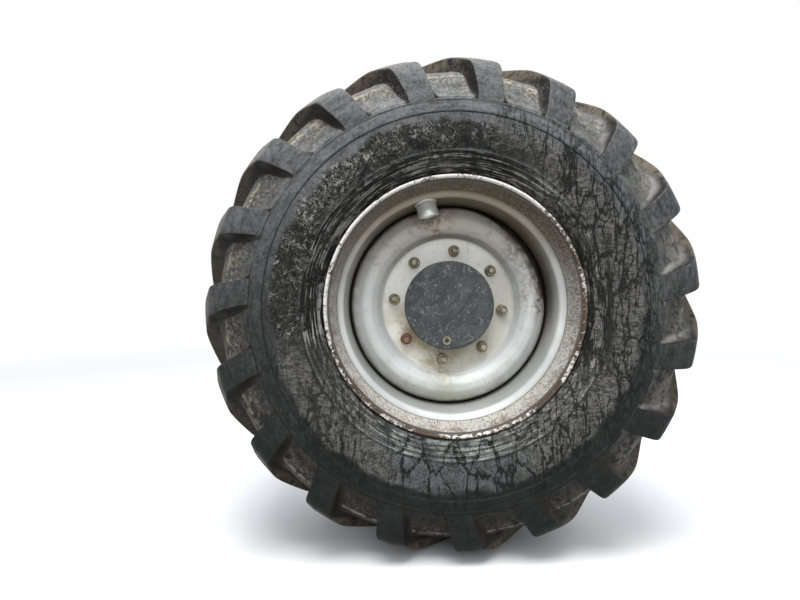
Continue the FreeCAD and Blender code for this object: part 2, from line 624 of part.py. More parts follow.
shaft = new_body("half_shaft", False)
turned(shaft, "shaft_bar", [
    ("-reach - journal_end", "0"),
    ("-reach - journal_end", "shaft_radius"),
    ("shaft_show - spline_bevel", "shaft_radius"),
    ("shaft_show", "shaft_radius - spline_bevel"),
    ("shaft_show", "0"),
])
groove = outline(shaft, "groove_outline", "XZ_Plane", [
    ("-spline_groove / 2", "shaft_radius - spline_depth"),
    ("spline_groove / 2", "shaft_radius - spline_depth"),
    ("spline_groove / 2", "shaft_radius + spline_depth"),
    ("-spline_groove / 2", "shaft_radius + spline_depth"),
], "-(shaft_show - spline_length)")
groove = pushed(shaft, "groove", "Pocket", groove, "2 * spline_length")
ringed(shaft, "grooves", groove, "spline_count")
finished("half_shaft", shaft)

# Breather on top of the arm and drain plug below it.
breather = new_body("breather", False)
arm_slope = "(arm_thick - arm_thin) / (%s - arm_throat - arm_flange_wall - arm_collar)" % arm_end
skin = "arm_thick + fitting_proud - (%s - arm_flange_wall - arm_collar) * " + arm_slope
breather_seat = skin % "breather_place"
drain_seat = skin % drain_spot
fitting_thread = "fitting_radius - fitting_fit"
thread = circles(breather, "breather_thread_outline", "XY_Plane", [("0", "-breather_place", fitting_thread)],
                 breather_seat)
pushed(breather, "breather_thread", "Pad", thread, "fitting_depth", back=True)
head = hexagon(breather, "breather_hex_outline", "XY_Plane", "0", "-breather_place", "fitting_flats",
               breather_seat)
pushed(breather, "breather_hex", "Pad", head, "breather_hex")
cap = circles(breather, "breather_cap_outline", "XY_Plane", [("0", "-breather_place", "fitting_flats / 2")],
              breather_seat + " + breather_hex")
pushed(breather, "breather_cap", "Pad", cap, "breather_cap")
finished("breather", breather)

drain = new_body("drain_plug", False)
thread = circles(drain, "drain_thread_outline", "XY_Plane", [("0", "-" + drain_spot, fitting_thread)],
                 "-(%s)" % drain_seat)
pushed(drain, "drain_thread", "Pad", thread, "fitting_depth")
head = hexagon(drain, "drain_hex_outline", "XY_Plane", "0", "-" + drain_spot, "fitting_flats",
               "-(%s)" % drain_seat)
pushed(drain, "drain_hex", "Pad", head, "drain_head", back=True)
finished("drain_plug", drain)

# Tyre: a hollow casing in flat facets with the lugs fused to it. Half the casing's section runs from the
# tread floor round the outside to the bead and back inside: (along the axle, radius).
heel = "(rim_half - rim_flange - bead_clear)"
toe = "(rim_half - rim_flange - bead_width)"
seat_slope = "(seat_top - seat_foot - rim_wall) / (seat_width - rim_flange)"
seat = "(seat_top + bead_clear - (rim_half - rim_flange - %s) * " + seat_slope + ")"
half_section = [
    ("casing_half - tread_inset", "casing_radius - shoulder_drop"),
    ("casing_half - shoulder_inset", "casing_radius - shoulder_drop - shoulder_depth"),
    ("casing_half", "bulge_radius"),
    ("casing_half - flank_inset", "flank_radius"),
    ("rim_half", "rim_radius + bead_lap"),
    (heel, "rim_radius + bead_clear"),
    (heel, seat % heel),
    (toe, seat % toe),
    (toe, seat % toe + " + bead_height"),
    ("casing_half - casing_wall", "bulge_radius"),
    ("casing_half - tread_inset", "casing_radius - shoulder_drop - casing_wall"),
]
section = [("0", "casing_radius")] + half_section + mirrored(half_section)

# A lug's sections across the axle: share of its sweep, distance from the centre plane, root radius,
# top radius.
lug_sections = [
    (0.00, "casing_half - lug_inset", "lug_foot", "tyre_radius - 54"),
    (0.05, "casing_half - 16", "lug_foot + 4", "tyre_radius - 34"),
    (0.28, "casing_half - 76", "casing_radius - shoulder_drop - lug_sink", "tyre_radius - 10"),
    (0.62, "casing_half - 165", "casing_radius - shoulder_drop - lug_sink", "tyre_radius - 2"),
    (1.00, "-lug_overlap", "casing_radius - lug_sink", "tyre_radius"),
]
axle = (FreeCAD.Vector(0, 0, 0), FreeCAD.Vector(0, 1, 0))


def around(along, radius, turn):
    """A point at an angle in degrees about the axle, clockwise from the top as seen from outside."""
    turn = math.radians(turn)
    return FreeCAD.Vector(radius * math.sin(turn), along, radius * math.cos(turn))


def faceted(rings, closed):
    """A solid with flat faces between rows of corners. A closed one runs back into its first row."""
    faces = [] if closed else [Part.Face(Part.makePolygon(row + row[:1])) for row in (rings[0], rings[-1])]
    for here, there in zip(rings, rings[1:] + rings[:1] if closed else rings[1:]):
        for index in range(len(here)):
            after = (index + 1) % len(here)
            corners = [here[index], here[after], there[after], there[index]]
            pieces = [corners] if closed else [corners[:3], corners[2:] + corners[:1]]
            faces += [Part.Face(Part.makePolygon(piece + piece[:1])) for piece in pieces]
    solid = Part.makeSolid(Part.makeShell(faces))
    solid.fix(1e-6, 1e-6, 1e-6)
    return solid


def lug_corners(share, along, root, top, side):
    """The lug's root and top corners at one section."""
    middle = -share * size("lug_sweep")
    width = size("lug_half_end") + share * (size("lug_half_centre") - size("lug_half_end"))
    crown = width * size("lug_taper")
    spreads = ((root, -width), (top, -crown), (top, crown), (root, width))
    return [around(side * size(along), size(radius), middle + spread) for radius, spread in spreads]


flats = round(size("casing_flats"))
spots = [(size(along), size(radius)) for along, radius in section]
casing = faceted([[around(*spot, 360 * index / flats) for spot in spots] for index in range(flats)], True)
lugs = []
for side, start in ((-1, size("lug_start")), (1, size("lug_start + 180 / lug_count"))):
    lug = faceted([lug_corners(*row, side) for row in lug_sections], False)
    for index in range(round(size("lug_count"))):
        copy = lug.copy()
        copy.rotate(*axle, start + index * 360 / size("lug_count"))
        lugs.append(copy)
tyre = doc.addObject("Part::Feature", "tyre")
tyre.Shape = casing.fuse(lugs)
tyre.Placement.Base = FreeCAD.Vector(0, -size("reach"), 0)
finished("tyre", tyre)

doc.recompute()
for item in doc.Objects:
    faults = [word for word in item.State if word in ("Invalid", "Error")]
    if faults:
        raise RuntimeError("%s is %s" % (item.Name, faults))
os.makedirs("parts", exist_ok=True)
for label, item in subparts:
    item.Label = label
    if item.Shape.isNull() or not item.Shape.isValid():
        raise RuntimeError(label + " has no valid shape")
    item.Shape.exportStep("parts/%s.step" % label)
    print(label, len(item.Shape.Solids), round(item.Shape.Volume))
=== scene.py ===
import math

import bmesh
import bpy
import numpy as np
from mathutils import Matrix, Vector


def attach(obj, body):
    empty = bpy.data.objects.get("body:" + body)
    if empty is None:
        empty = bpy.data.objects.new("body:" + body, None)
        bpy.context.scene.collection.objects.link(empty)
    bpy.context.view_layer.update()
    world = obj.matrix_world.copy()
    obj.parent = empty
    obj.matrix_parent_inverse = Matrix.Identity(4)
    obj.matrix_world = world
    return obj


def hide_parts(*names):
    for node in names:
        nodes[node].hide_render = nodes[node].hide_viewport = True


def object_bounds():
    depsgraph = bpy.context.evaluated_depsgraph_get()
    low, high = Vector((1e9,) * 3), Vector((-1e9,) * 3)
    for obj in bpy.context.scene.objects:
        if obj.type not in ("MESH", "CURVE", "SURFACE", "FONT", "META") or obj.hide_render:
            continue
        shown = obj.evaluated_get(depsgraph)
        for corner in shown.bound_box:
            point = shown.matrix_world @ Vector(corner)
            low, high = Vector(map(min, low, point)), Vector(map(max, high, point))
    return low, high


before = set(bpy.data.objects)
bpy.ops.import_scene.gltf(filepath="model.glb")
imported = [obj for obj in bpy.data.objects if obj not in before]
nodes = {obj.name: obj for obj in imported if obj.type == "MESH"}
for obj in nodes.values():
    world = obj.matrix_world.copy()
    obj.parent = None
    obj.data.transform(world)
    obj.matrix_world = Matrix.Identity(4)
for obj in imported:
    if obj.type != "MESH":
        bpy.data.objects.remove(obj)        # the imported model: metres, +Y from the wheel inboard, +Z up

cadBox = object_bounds()
wheelY = -0.69           # the wheel's centre plane along the axle
print("frame loaded:", len(nodes), "nodes")


def newObject(name, data):
    piece = bpy.data.objects.new(name, data)
    bpy.context.scene.collection.objects.link(piece)
    return piece


# Camera

cameraView = {
    "focal": 27.0,               # mm on a frame of this width in mm
    "sensor": 36.0,
    "picture": 800,              # px across
    "centre": (400.0, 300.0),    # px of its middle
    "axleEnd": (382.2, 287.3),   # px where lines along the axle meet
    "flange": (456.4, 307.0),    # px of the centre of the rim's outer flange
    "distance": 1.357,           # from the lens to the plane of that flange
    "flangeY": wheelY - 0.218,
    "clipStart": 0.05,
}


def setCamera():
    view = cameraView
    pixels = view["picture"] * view["focal"] / view["sensor"]
    yaw, dip = (math.asin((middle - end) / pixels) for middle, end in zip(view["centre"], view["axleEnd"]))
    ahead = Vector((math.sin(yaw) * math.cos(dip), math.cos(yaw) * math.cos(dip), -math.sin(dip)))
    right = Vector((math.cos(yaw), -math.sin(yaw), 0))
    up = right.cross(ahead)
    across = (view["flange"][0] - view["centre"][0]) / pixels * view["distance"]
    rise = (view["centre"][1] - view["flange"][1]) / pixels * view["distance"]
    lens = bpy.data.cameras.new("camera")
    lens.lens = view["focal"]
    lens.sensor_width = view["sensor"]
    lens.clip_start = view["clipStart"]
    camera = newObject("camera", lens)
    spot = Vector((0, view["flangeY"], 0)) - right * across - up * rise - ahead * view["distance"]
    camera.matrix_world = Matrix.Translation(spot) @ Matrix((right, up, -ahead)).transposed().to_4x4()
    bpy.context.scene.camera = camera


setCamera()
bpy.context.scene.view_settings.view_transform = "Standard"
print("camera set")


# A small kit for node trees

underWay = {"tree": None}    # the tree that new nodes go into


class Field:
    # a socket's value, whose sums and products are maths nodes
    def __init__(self, socket):
        self.socket = socket

    def __add__(self, other):
        return maths("ADD", self, other)

    def __sub__(self, other):
        return maths("SUBTRACT", self, other)

    def __rsub__(self, other):
        return maths("SUBTRACT", other, self)

    def __mul__(self, other):
        return maths("MULTIPLY", self, other)

    def __truediv__(self, other):
        return maths("DIVIDE", self, other)

    def __rtruediv__(self, other):
        return maths("DIVIDE", other, self)


def feed(socket, item):
    # a socket takes a Field, a number, a place or a colour
    if isinstance(item, Field):
        underWay["tree"].links.new(item.socket, socket)
    elif isinstance(item, tuple) and socket.type == "RGBA":
        socket.default_value = item + (1,)
    else:
        socket.default_value = item


def makeNode(kind, given=None, **settings):
    node = underWay["tree"].nodes.new(kind)
    for key, value in settings.items():
        setattr(node, key, value)
    for name, item in (given or {}).items():
        feed(node.inputs[name], item)
    return node


def field(kind, given=None, output=0, **settings):
    # a new node's output, its inputs given by name or number
    return Field(makeNode(kind, given, **settings).outputs[output])


def fields(sockets):
    return {socket.name: Field(socket) for socket in sockets}


def noise(vector, scale, detail=4, roughness=0.55, distortion=0.0):
    return field("ShaderNodeTexNoise", {"Vector": vector, "Scale": scale, "Detail": detail,
                                        "Roughness": roughness, "Distortion": distortion}, "Fac")


def span(value, low, high, lowTo=0.0, highTo=1.0):
    return field("ShaderNodeMapRange", {"Value": value, "From Min": low, "From Max": high, "To Min": lowTo,
                                        "To Max": highTo}, interpolation_type="SMOOTHSTEP")


def zone(value, start, end, soft):
    # 1 between start and end, with soft edges
    return span(value, start - soft, start + soft) * span(value, end - soft, end + soft, 1.0, 0.0)


def maths(operation, *items):
    return field("ShaderNodeMath", dict(enumerate(items)), operation=operation)


def largest(first, *others):
    for item in others:
        first = maths("MAXIMUM", first, item)
    return first


def blend(mask, first, second, mode="MIX"):
    return field("ShaderNodeMix", {0: mask, 6: first, 7: second}, 2, data_type="RGBA", blend_type=mode)


def moved(vector, **values):
    # a vector mapped by a scale or a location
    given = {name.capitalize(): value for name, value in values.items()}
    return field("ShaderNodeMapping", {"Vector": vector, **given})


def vectorMaths(operation, given, output=0):
    return field("ShaderNodeVectorMath", given, output, operation=operation)


def scaled(vector, amount):
    return vectorMaths("SCALE", {0: vector, "Scale": amount})


def axes(vector):
    return [Field(socket) for socket in makeNode("ShaderNodeSeparateXYZ", {0: vector}).outputs]


def joined(x=0.0, y=0.0, z=0.0):
    return field("ShaderNodeCombineXYZ", {0: x, 1: y, 2: z})


def lines(vector, scale, width, detail=4, distortion=1.0, roughness=0.6):
    # thin wandering lines where a noise crosses its middle
    level = noise(vector, scale, detail, roughness, distortion)
    return span(maths("ABSOLUTE", level - 0.5), width, 0.15 * width)


def marks(vector, scale, low, high, detail=3, roughness=0.6, distortion=1.0):
    # crisp marks where a noise is high
    return span(noise(vector, scale, detail, roughness, distortion), low, high)


def patch(coords, spot, reach):
    # 1 at a spot, falling to 0 at its reach
    return span(vectorMaths("DISTANCE", {0: coords, 1: spot}, "Value"), reach, 0.25 * reach)


def newTree(name, kind, inputs, outputs):
    # an input's value is its default, or the kind of a socket that has none
    tree = underWay["tree"] = bpy.data.node_groups.new(name, kind)
    for label, value in inputs.items():
        sort = value if isinstance(value, str) else "Int" if isinstance(value, int) else "Float"
        socket = tree.interface.new_socket(name=label, in_out="INPUT", socket_type="NodeSocket" + sort)
        if sort != value:
            socket.default_value = value
    for label, sort in outputs.items():
        tree.interface.new_socket(name=label, in_out="OUTPUT", socket_type="NodeSocket" + sort)
    return tree, fields(makeNode("NodeGroupInput").outputs), makeNode("NodeGroupOutput").inputs


def newGroup(name, inputs, outputs=None):
    return newTree(name, "ShaderNodeTree", inputs, outputs or {"Mask": "Float"})


def place(group, **values):
    # a group in a material, its inputs given by name with the first letter small
    node = makeNode("ShaderNodeGroup", node_tree=group)
    for socket in node.inputs:
        key = socket.name[0].lower() + socket.name[1:].replace(" ", "")
        if key in values:
            feed(socket, values[key])
    return fields(node.outputs)


def newMaterial(name):
    material = bpy.data.materials.new(name)
    material.use_nodes = True
    underWay["tree"] = material.node_tree
    return material, field("ShaderNodeTexCoord", output="Object")


def surface(material, colour, rough, metal, height, strength, distance, specular=0.5):
    bumped = field("ShaderNodeBump", {"Strength": strength, "Distance": distance, "Height": height})
    shader = material.node_tree.nodes["Principled BSDF"]
    for name, item in (("Base Color", colour), ("Roughness", rough), ("Metallic", metal), ("Normal", bumped),
                       ("Specular IOR Level", specular)):
        feed(shader.inputs[name], item)
    return material


# Effects that several materials share

def makeWheelPlace():
    # distance from the axle, distance out from the wheel's centre plane, and a place whose y is the radius
    tree, given, result = newGroup("wheelPlace", {"Coords": "Vector"},
                                   {"Radius": "Float", "Out": "Float", "Around": "Vector"})
    x, y, z = axes(given["Coords"])
    radius = largest(maths("SQRT", x * x + z * z), 0.01)
    scale = 0.36 / radius
    feed(result["Radius"], radius)
    feed(result["Around"], joined(x * scale, radius, z * scale))
    feed(result["Out"], wheelY - y)
    return tree


def makeSpecks():
    # small round spots of uneven size: chips, splashes, rust points
    tree, given, result = newGroup("specks", {"Coords": "Vector", "Scale": 200.0, "Share": 0.3,
                                              "Gather": 0.5})
    coords, scale = given["Coords"], given["Scale"]
    wobble = field("ShaderNodeTexNoise", {"Vector": coords, "Scale": scale}, "Color")
    bent = vectorMaths("MULTIPLY_ADD", {0: wobble, 1: (0.004, 0.004, 0.004), 2: coords})
    cells = fields(makeNode("ShaderNodeTexVoronoi", {"Vector": bent, "Scale": scale}).outputs)
    pick = field("ShaderNodeSeparateColor", {0: cells["Color"]})
    chance = given["Share"] * span(noise(coords, 9.0, 3, 0.6), given["Gather"], 0.72, 0.15, 1.0)
    feed(result["Mask"], span((chance - pick) * 1.4 - cells["Distance"], -0.08, 0.08))
    return tree


def makeBranches():
    # thin dark lines that branch and wander, in patches
    tree, given, result = newGroup("branches", {"Coords": "Vector", "Scale": 25.0, "Width": 0.03,
                                                "Wander": 0.03, "Patch": 0.5})
    coords = given["Coords"]
    wobble = field("ShaderNodeTexNoise", {"Vector": coords, "Scale": 22.0, "Detail": 6.0, "Roughness": 0.65},
                   "Color")
    bent = vectorMaths("ADD", {0: scaled(wobble, given["Wander"]), 1: coords})
    edges = field("ShaderNodeTexVoronoi", {"Vector": bent, "Scale": given["Scale"]}, "Distance",
                  feature="DISTANCE_TO_EDGE")
    there = span(noise(coords, 6.0, 4, 0.6), given["Patch"], given["Patch"] + 0.1)
    width = given["Width"] * there
    feed(result["Mask"], (1.0 - span(edges, width * 0.5, width)) * there)
    return tree


def makeGrime():
    # soft cloudy dirt, coarse and fine together
    tree, given, result = newGroup("grime", {"Coords": "Vector", "Scale": 12.0, "Start": 0.45, "End": 0.65})
    coarse = noise(given["Coords"], given["Scale"], 5, 0.62)
    fine = noise(given["Coords"], given["Scale"] * 9.0, 4, 0.7)
    feed(result["Mask"], span(fine * 0.35 + coarse * 0.65, given["Start"], given["End"]))
    return tree


wheelPlace = makeWheelPlace()
specks = makeSpecks()
branches = makeBranches()
grime = makeGrime()
print("shader groups made")


# Floor and light

studio = {
    "floorSize": 60.0,
    "floorSeen": (0.80, 0.80, 0.80),      # what the camera and reflections see
    "floorBounce": (0.24, 0.23, 0.21),    # what it throws back on the wheel
    "floorRough": 0.85,
    "fade": (2.2, 5.0),                   # from here the floor goes over into the white behind it
    "skyColour": (0.86, 0.93, 1.0),
    "lowColour": (0.26, 0.26, 0.25),
    "skyRise": (-0.1, 0.75),              # height over which the low colour goes over into the sky's
    "lights": [
        # name, place, aims at, size, watts
        ("skyLight", (-0.35, -2.0, 3.1), (0, -0.75, 0), 2.2, 165),
        ("frontLight", (0.2, -4.4, 1.6), (0, -0.8, 0), 3.0, 40),
        ("rearLight", (1.6, 3.2, 2.2), (0, -0.3, 0), 2.6, 60),
    ],
}


def seenDirectly():
    # 1 for what the camera sees, straight, in a reflection or through glass
    rays = fields(makeNode("ShaderNodeLightPath").outputs)
    return largest(rays["Is Camera Ray"], rays["Is Glossy Ray"], rays["Is Transmission Ray"])


def mixInto(output, share, first, second):
    mixed = field("ShaderNodeMixShader", {0: share, 1: Field(first.outputs[0]), 2: Field(second.outputs[0])})
    feed(underWay["tree"].nodes[output].inputs["Surface"], mixed)


def makeFloor():
    size, z = studio["floorSize"] / 2, cadBox[0][2]
    mesh = bpy.data.meshes.new("floor")
    mesh.from_pydata([(-size, -size, z), (size, -size, z), (size, size, z), (-size, size, z)], [],
                     [(0, 1, 2, 3)])
    material, coords = newMaterial("floorPaint")
    shader = material.node_tree.nodes["Principled BSDF"]
    seen = seenDirectly()
    feed(shader.inputs["Base Color"], blend(seen, studio["floorBounce"], studio["floorSeen"]))
    feed(shader.inputs["Roughness"], studio["floorRough"])
    away = vectorMaths("LENGTH", {0: moved(coords, scale=(1.0, 1.0, 0.0))}, "Value")
    mixInto("Material Output", span(away, *studio["fade"]) * seen, shader, makeNode("ShaderNodeEmission"))
    mesh.materials.append(material)
    newObject("floor", mesh)


def makeLights():
    for name, spot, target, size, watts in studio["lights"]:
        lamp = bpy.data.lights.new(name, "AREA")
        lamp.size = size
        lamp.energy = watts
        light = newObject(name, lamp)
        light.location = spot
        light.rotation_euler = (Vector(target) - Vector(spot)).to_track_quat("-Z", "Y").to_euler()


def makeWorld():
    world = bpy.context.scene.world = bpy.data.worlds.new("studioWorld")
    world.use_nodes = True
    underWay["tree"] = world.node_tree
    upward = axes(field("ShaderNodeTexCoord", output="Generated"))[2]
    back = world.node_tree.nodes["Background"]
    feed(back.inputs["Color"], blend(span(upward, *studio["skyRise"]), studio["lowColour"],
                                     studio["skyColour"]))
    white = makeNode("ShaderNodeBackground", {"Color": (1, 1, 1)})
    mixInto("World Output", seenDirectly(), back, white)


makeFloor()
makeLights()
makeWorld()
print("studio ready")


# Surfaces

paintLook = {
    "mud": (0.115, 0.088, 0.055),
    "mudDry": (0.24, 0.20, 0.14),
    "stain": (0.30, 0.22, 0.11),
    "rust": (0.13, 0.048, 0.016),
    "rustDeep": (0.040, 0.018, 0.010),
    "rustBright": (0.150, 0.055, 0.018),
}


def makeWornPaint():
    # paint with cloudy stains, mud, rust patches and chips; the amounts come from the material
    look = paintLook
    tree, given, result = newGroup("wornPaint", {
        "Coords": "Vector", "Paint": "Color", "Mud": 0.0, "Stain": 0.0, "Rust": 0.0, "Specks": 0.0,
        "Scale": 1.0, "Bare Rough": 0.38}, {"Colour": "Color", "Rough": "Float", "Height": "Float", "Cover": "Float"})
    coords = scaled(given["Coords"], given["Scale"])
    cloud = noise(coords, 9.0, 6, 0.62)
    fine = noise(coords, 160.0, 4, 0.6)
    colour = blend(span(cloud, 0.3, 0.7), (0.9, 0.9, 0.9), (1.06, 1.06, 1.06))
    colour = blend(1.0, given["Paint"], colour, "MULTIPLY")
    # stains: thin brown wash in clouds
    wash = noise(coords, 16.0, 8, 0.68, 0.4)
    limit = given["Stain"] * -0.42 + 0.78
    stain = span(wash, limit, limit + 0.22) * 0.75
    colour = blend(stain, colour, look["stain"])
    # mud: thick, matt, with a ragged edge
    clods = noise(coords, 27.0, 9, 0.72, 0.3)
    limit = given["Mud"] * -0.62 + 0.86
    mud = span(clods, limit, limit + 0.16)
    colour = blend(mud * 0.92, colour, blend(fine, look["mud"], look["mudDry"]))
    # rust: patches that grow out of specks
    blots = noise(coords, 34.0, 10, 0.74, 0.6)
    limit = given["Rust"] * -0.5 + 0.84
    chips = place(specks, coords=coords, scale=230.0, share=given["Specks"], gather=0.35)["Mask"]
    rust = largest(span(blots, limit, limit + 0.07), chips)
    rustColour = blend(span(fine, 0.35, 0.65), look["rustDeep"], look["rust"])
    colour = blend(rust * 0.9, colour, rustColour)
    cover = maths("MINIMUM", mud + rust + stain * 0.6, 1.0)
    feed(result["Colour"], colour)
    feed(result["Rough"], cover * 0.45 + cloud * 0.16 + (given["Bare Rough"] - 0.08))
    feed(result["Height"], fine * (cover * 0.5 + 0.12) + (mud * 0.8 - rust * 0.4))
    feed(result["Cover"], cover)
    return tree


wornPaint = makeWornPaint()


rimLook = {
    "lip": (0.80, 0.79, 0.76),
    "lipWorn": (0.70, 0.665, 0.60),
    "lipRust": (0.070, 0.044, 0.028),
    "seat": (0.50, 0.485, 0.44),         # outer band, matt and speckled
    "seatTop": (0.120, 0.100, 0.066),
    "seatRust": (0.110, 0.066, 0.036),
    "grain": (0.120, 0.090, 0.060),      # dark and pale grains of that band
    "grainTop": (0.018, 0.012, 0.008),
    "fleck": (0.56, 0.55, 0.51),
    "fleckTop": (0.40, 0.36, 0.28),
    "pit": (0.022, 0.015, 0.010),
    # dark line in the groove inside the lip: painted shade
    "groove": (0.035, 0.025, 0.018),
    "streak": (0.150, 0.112, 0.070),
    "ramp": (0.90, 0.91, 0.90),          # rounded band inside it, still shiny, lightened as a painted highlight
    "rampFoot": (0.70, 0.72, 0.72),
    "rampTop": (0.44, 0.40, 0.32),
    "barrel": (0.60, 0.605, 0.575),
    "barrelFoot": (0.47, 0.48, 0.455),
    "barrelTop": (0.145, 0.125, 0.085),
    "haze": (0.125, 0.090, 0.050),       # brown at its right
    "joint": (0.012, 0.010, 0.008),      # black where the disc meets the barrel: painted shade in the crevice, with dirt
    "inside": (0.22, 0.215, 0.20),
    "insideMud": (0.105, 0.085, 0.060),
    # bands as start, end and softness, in metres out from the centre plane, and the groove's painted shade by radius
    "seatBand": (0.1500, 0.2080, 0.0010),
    "seatStart": (0.1480, 0.1500, 0.0008),
    "rampBand": (0.1285, 0.1450, 0.0070),
    "lipBand": (0.2110, 0.2135),
    "grooveBand": (0.2874, 0.2920, 0.0005),
}


def makeRimPaint():
    # silver barrel in bands, each darker and browner towards the top as dirt and painted shade, with a rubbed and
    # rusted lip
    look = rimLook
    material, coords = newMaterial("rimPaint")
    spot = place(wheelPlace, coords=coords)
    radius, out = spot["Radius"], spot["Out"]
    x, z = axes(coords)[::2]
    cloud = noise(coords, 8.0, 6, 0.65)
    grain = noise(moved(spot["Around"], scale=(0.9, 1.0, 0.9)), 340.0, 5, 0.78)
    drift = (cloud - 0.5) * 0.22 + z
    topShadeAndDirt = span(drift, -0.01, 0.24)
    seat = zone(out, *look["seatBand"])
    ramp = zone(out, *look["rampBand"])
    lip = span(out, *look["lipBand"])
    foot = span(drift, -0.05, -0.18)
    # each band darker and browner at the top: dirt and painted shade
    colour = blend(topShadeAndDirt, blend(foot, look["barrel"], look["barrelFoot"]), look["barrelTop"])
    # the rounded ramp lightened as a painted highlight
    colour = blend(ramp, colour, blend(topShadeAndDirt, blend(foot, look["ramp"], look["rampFoot"]), look["rampTop"]))
    seatColour = blend(topShadeAndDirt, look["seat"], look["seatTop"])
    seatColour = blend(span(grain, 0.53, 0.57), seatColour, blend(topShadeAndDirt, look["grain"], look["grainTop"]))
    seatColour = blend(span(grain, 0.46, 0.4), seatColour, blend(topShadeAndDirt, look["fleck"], look["fleckTop"]))
    outer = span(out, 0.158, 0.206)
    streaks = marks(moved(spot["Around"], scale=(0.45, 1.0, 0.45)), 52.0, 0.46, 0.6, 10, 0.74, 0.5)
    streaks = streaks * (outer * 0.65 + 0.2) * (foot * -0.35 + 1.0)
    seatColour = blend(streaks, seatColour, look["streak"])
    blots = marks(coords, 38.0, 0.5, 0.62, 10, 0.76, 0.4)
    seatColour = blend(blots * outer * 0.75, seatColour, look["seatRust"])
    pits = marks(coords, 260.0, 0.55, 0.59, 6, 0.72)
    pitted = span(foot * -0.6 + outer, -0.4, 0.6, 0.25, 1.0)
    seatColour = blend(pits * pitted * 0.9, seatColour, look["pit"])
    colour = blend(seat, colour, seatColour)
    colour = blend(zone(out, *look["seatStart"]), colour, look["streak"])
    worn = span(z - x * 0.4, 0.27, -0.12, 0.4, 1.0)
    gather = noise(coords, 13.0, 5, 0.6) * -0.55 + worn * -0.19 + 0.9
    chips = span(noise(coords, 110.0, 8, 0.76, 0.5), gather, gather + 0.05)
    lipColour = blend(worn, look["lip"], look["lipWorn"])
    colour = blend(lip, colour, blend(chips, lipColour, look["lipRust"]))
    # dark line in the groove inside the lip: painted shade
    groove = zone(radius, *look["grooveBand"]) * span(out, 0.204, 0.206)
    colour = blend(groove * 0.92, colour, look["groove"])
    inside = span(out, 0.03, 0.02)
    colour = blend(inside, colour, blend(span(cloud, 0.4, 0.6), look["inside"], look["insideMud"]))
    rightHaze = span(x, 0.05, 0.22) * span(z, -0.16, 0.02) * span(out, 0.128, 0.072)
    colour = blend(rightHaze * span(grain, 0.3, 0.55, 0.35, 0.85), colour, look["haze"])
    # black in the crevice where the disc meets the barrel: painted shade with dirt
    joint = span(out + cloud * 0.012, 0.066, 0.048) * (1.0 - inside)
    colour = blend(joint, colour, look["joint"])
    band = seat * (1.0 - lip)
    finish = place(wornPaint, coords=coords, paint=colour, mud=topShadeAndDirt * 0.08, stain=band * 0.36 + topShadeAndDirt * 0.12,
                   rust=band * 0.34 + topShadeAndDirt * 0.1, specks=band * 0.34 + 0.17, bareRough=0.34)
    bare = 1.0 - largest(topShadeAndDirt, seat, joint, inside)
    return surface(material, finish["Colour"], finish["Rough"] + 0.14 - bare * 0.14, bare * 0.28,
                   finish["Height"] + seat * grain, 0.4, 0.0006)


discLook = {
    "crown": (0.58, 0.595, 0.59),
    "crownTop": (0.52, 0.495, 0.44),
    "crownFoot": (0.46, 0.475, 0.405),    # greenish wash at the bottom
    "ring": (0.90, 0.895, 0.845),
    "ringStain": (0.36, 0.275, 0.135),
    "warm": (0.44, 0.42, 0.35),           # the ring's browner right side
    "rubbed": (0.86, 0.86, 0.83),         # painted highlight along the ring's edge
    # dark on the slope up from the ring, at the top: painted shade
    "valley": (0.100, 0.085, 0.060),
    "scuff": (0.200, 0.165, 0.115),
    # black in the groove at the disc's edge: painted shade with dirt
    "edge": (0.014, 0.011, 0.008),
    "edgeRust": (0.115, 0.070, 0.035),
    "stains": [
        # (x, z), reach, share, colour: under the guard, at the right edge, below the cover
        ((-0.045, 0.212), 0.075, 0.80, (0.120, 0.085, 0.050)),
        ((0.236, 0.025), 0.090, 0.95, (0.190, 0.100, 0.042)),
        ((0.195, 0.140), 0.095, 0.80, (0.140, 0.085, 0.045)),
        ((-0.020, -0.135), 0.075, 0.85, (0.300, 0.225, 0.105)),
        ((-0.100, -0.085), 0.045, 0.70, (0.260, 0.160, 0.075)),
    ],
    "ringEdge": (0.1690, 0.1655),         # radii, where the ring rises into the crown
    "rubbedBand": (0.1655, 0.1672, 0.0006),
    "valleyBand": (0.1660, 0.1800, 0.0060),
    "brink": 0.2510,                      # radius where the disc meets the barrel
}


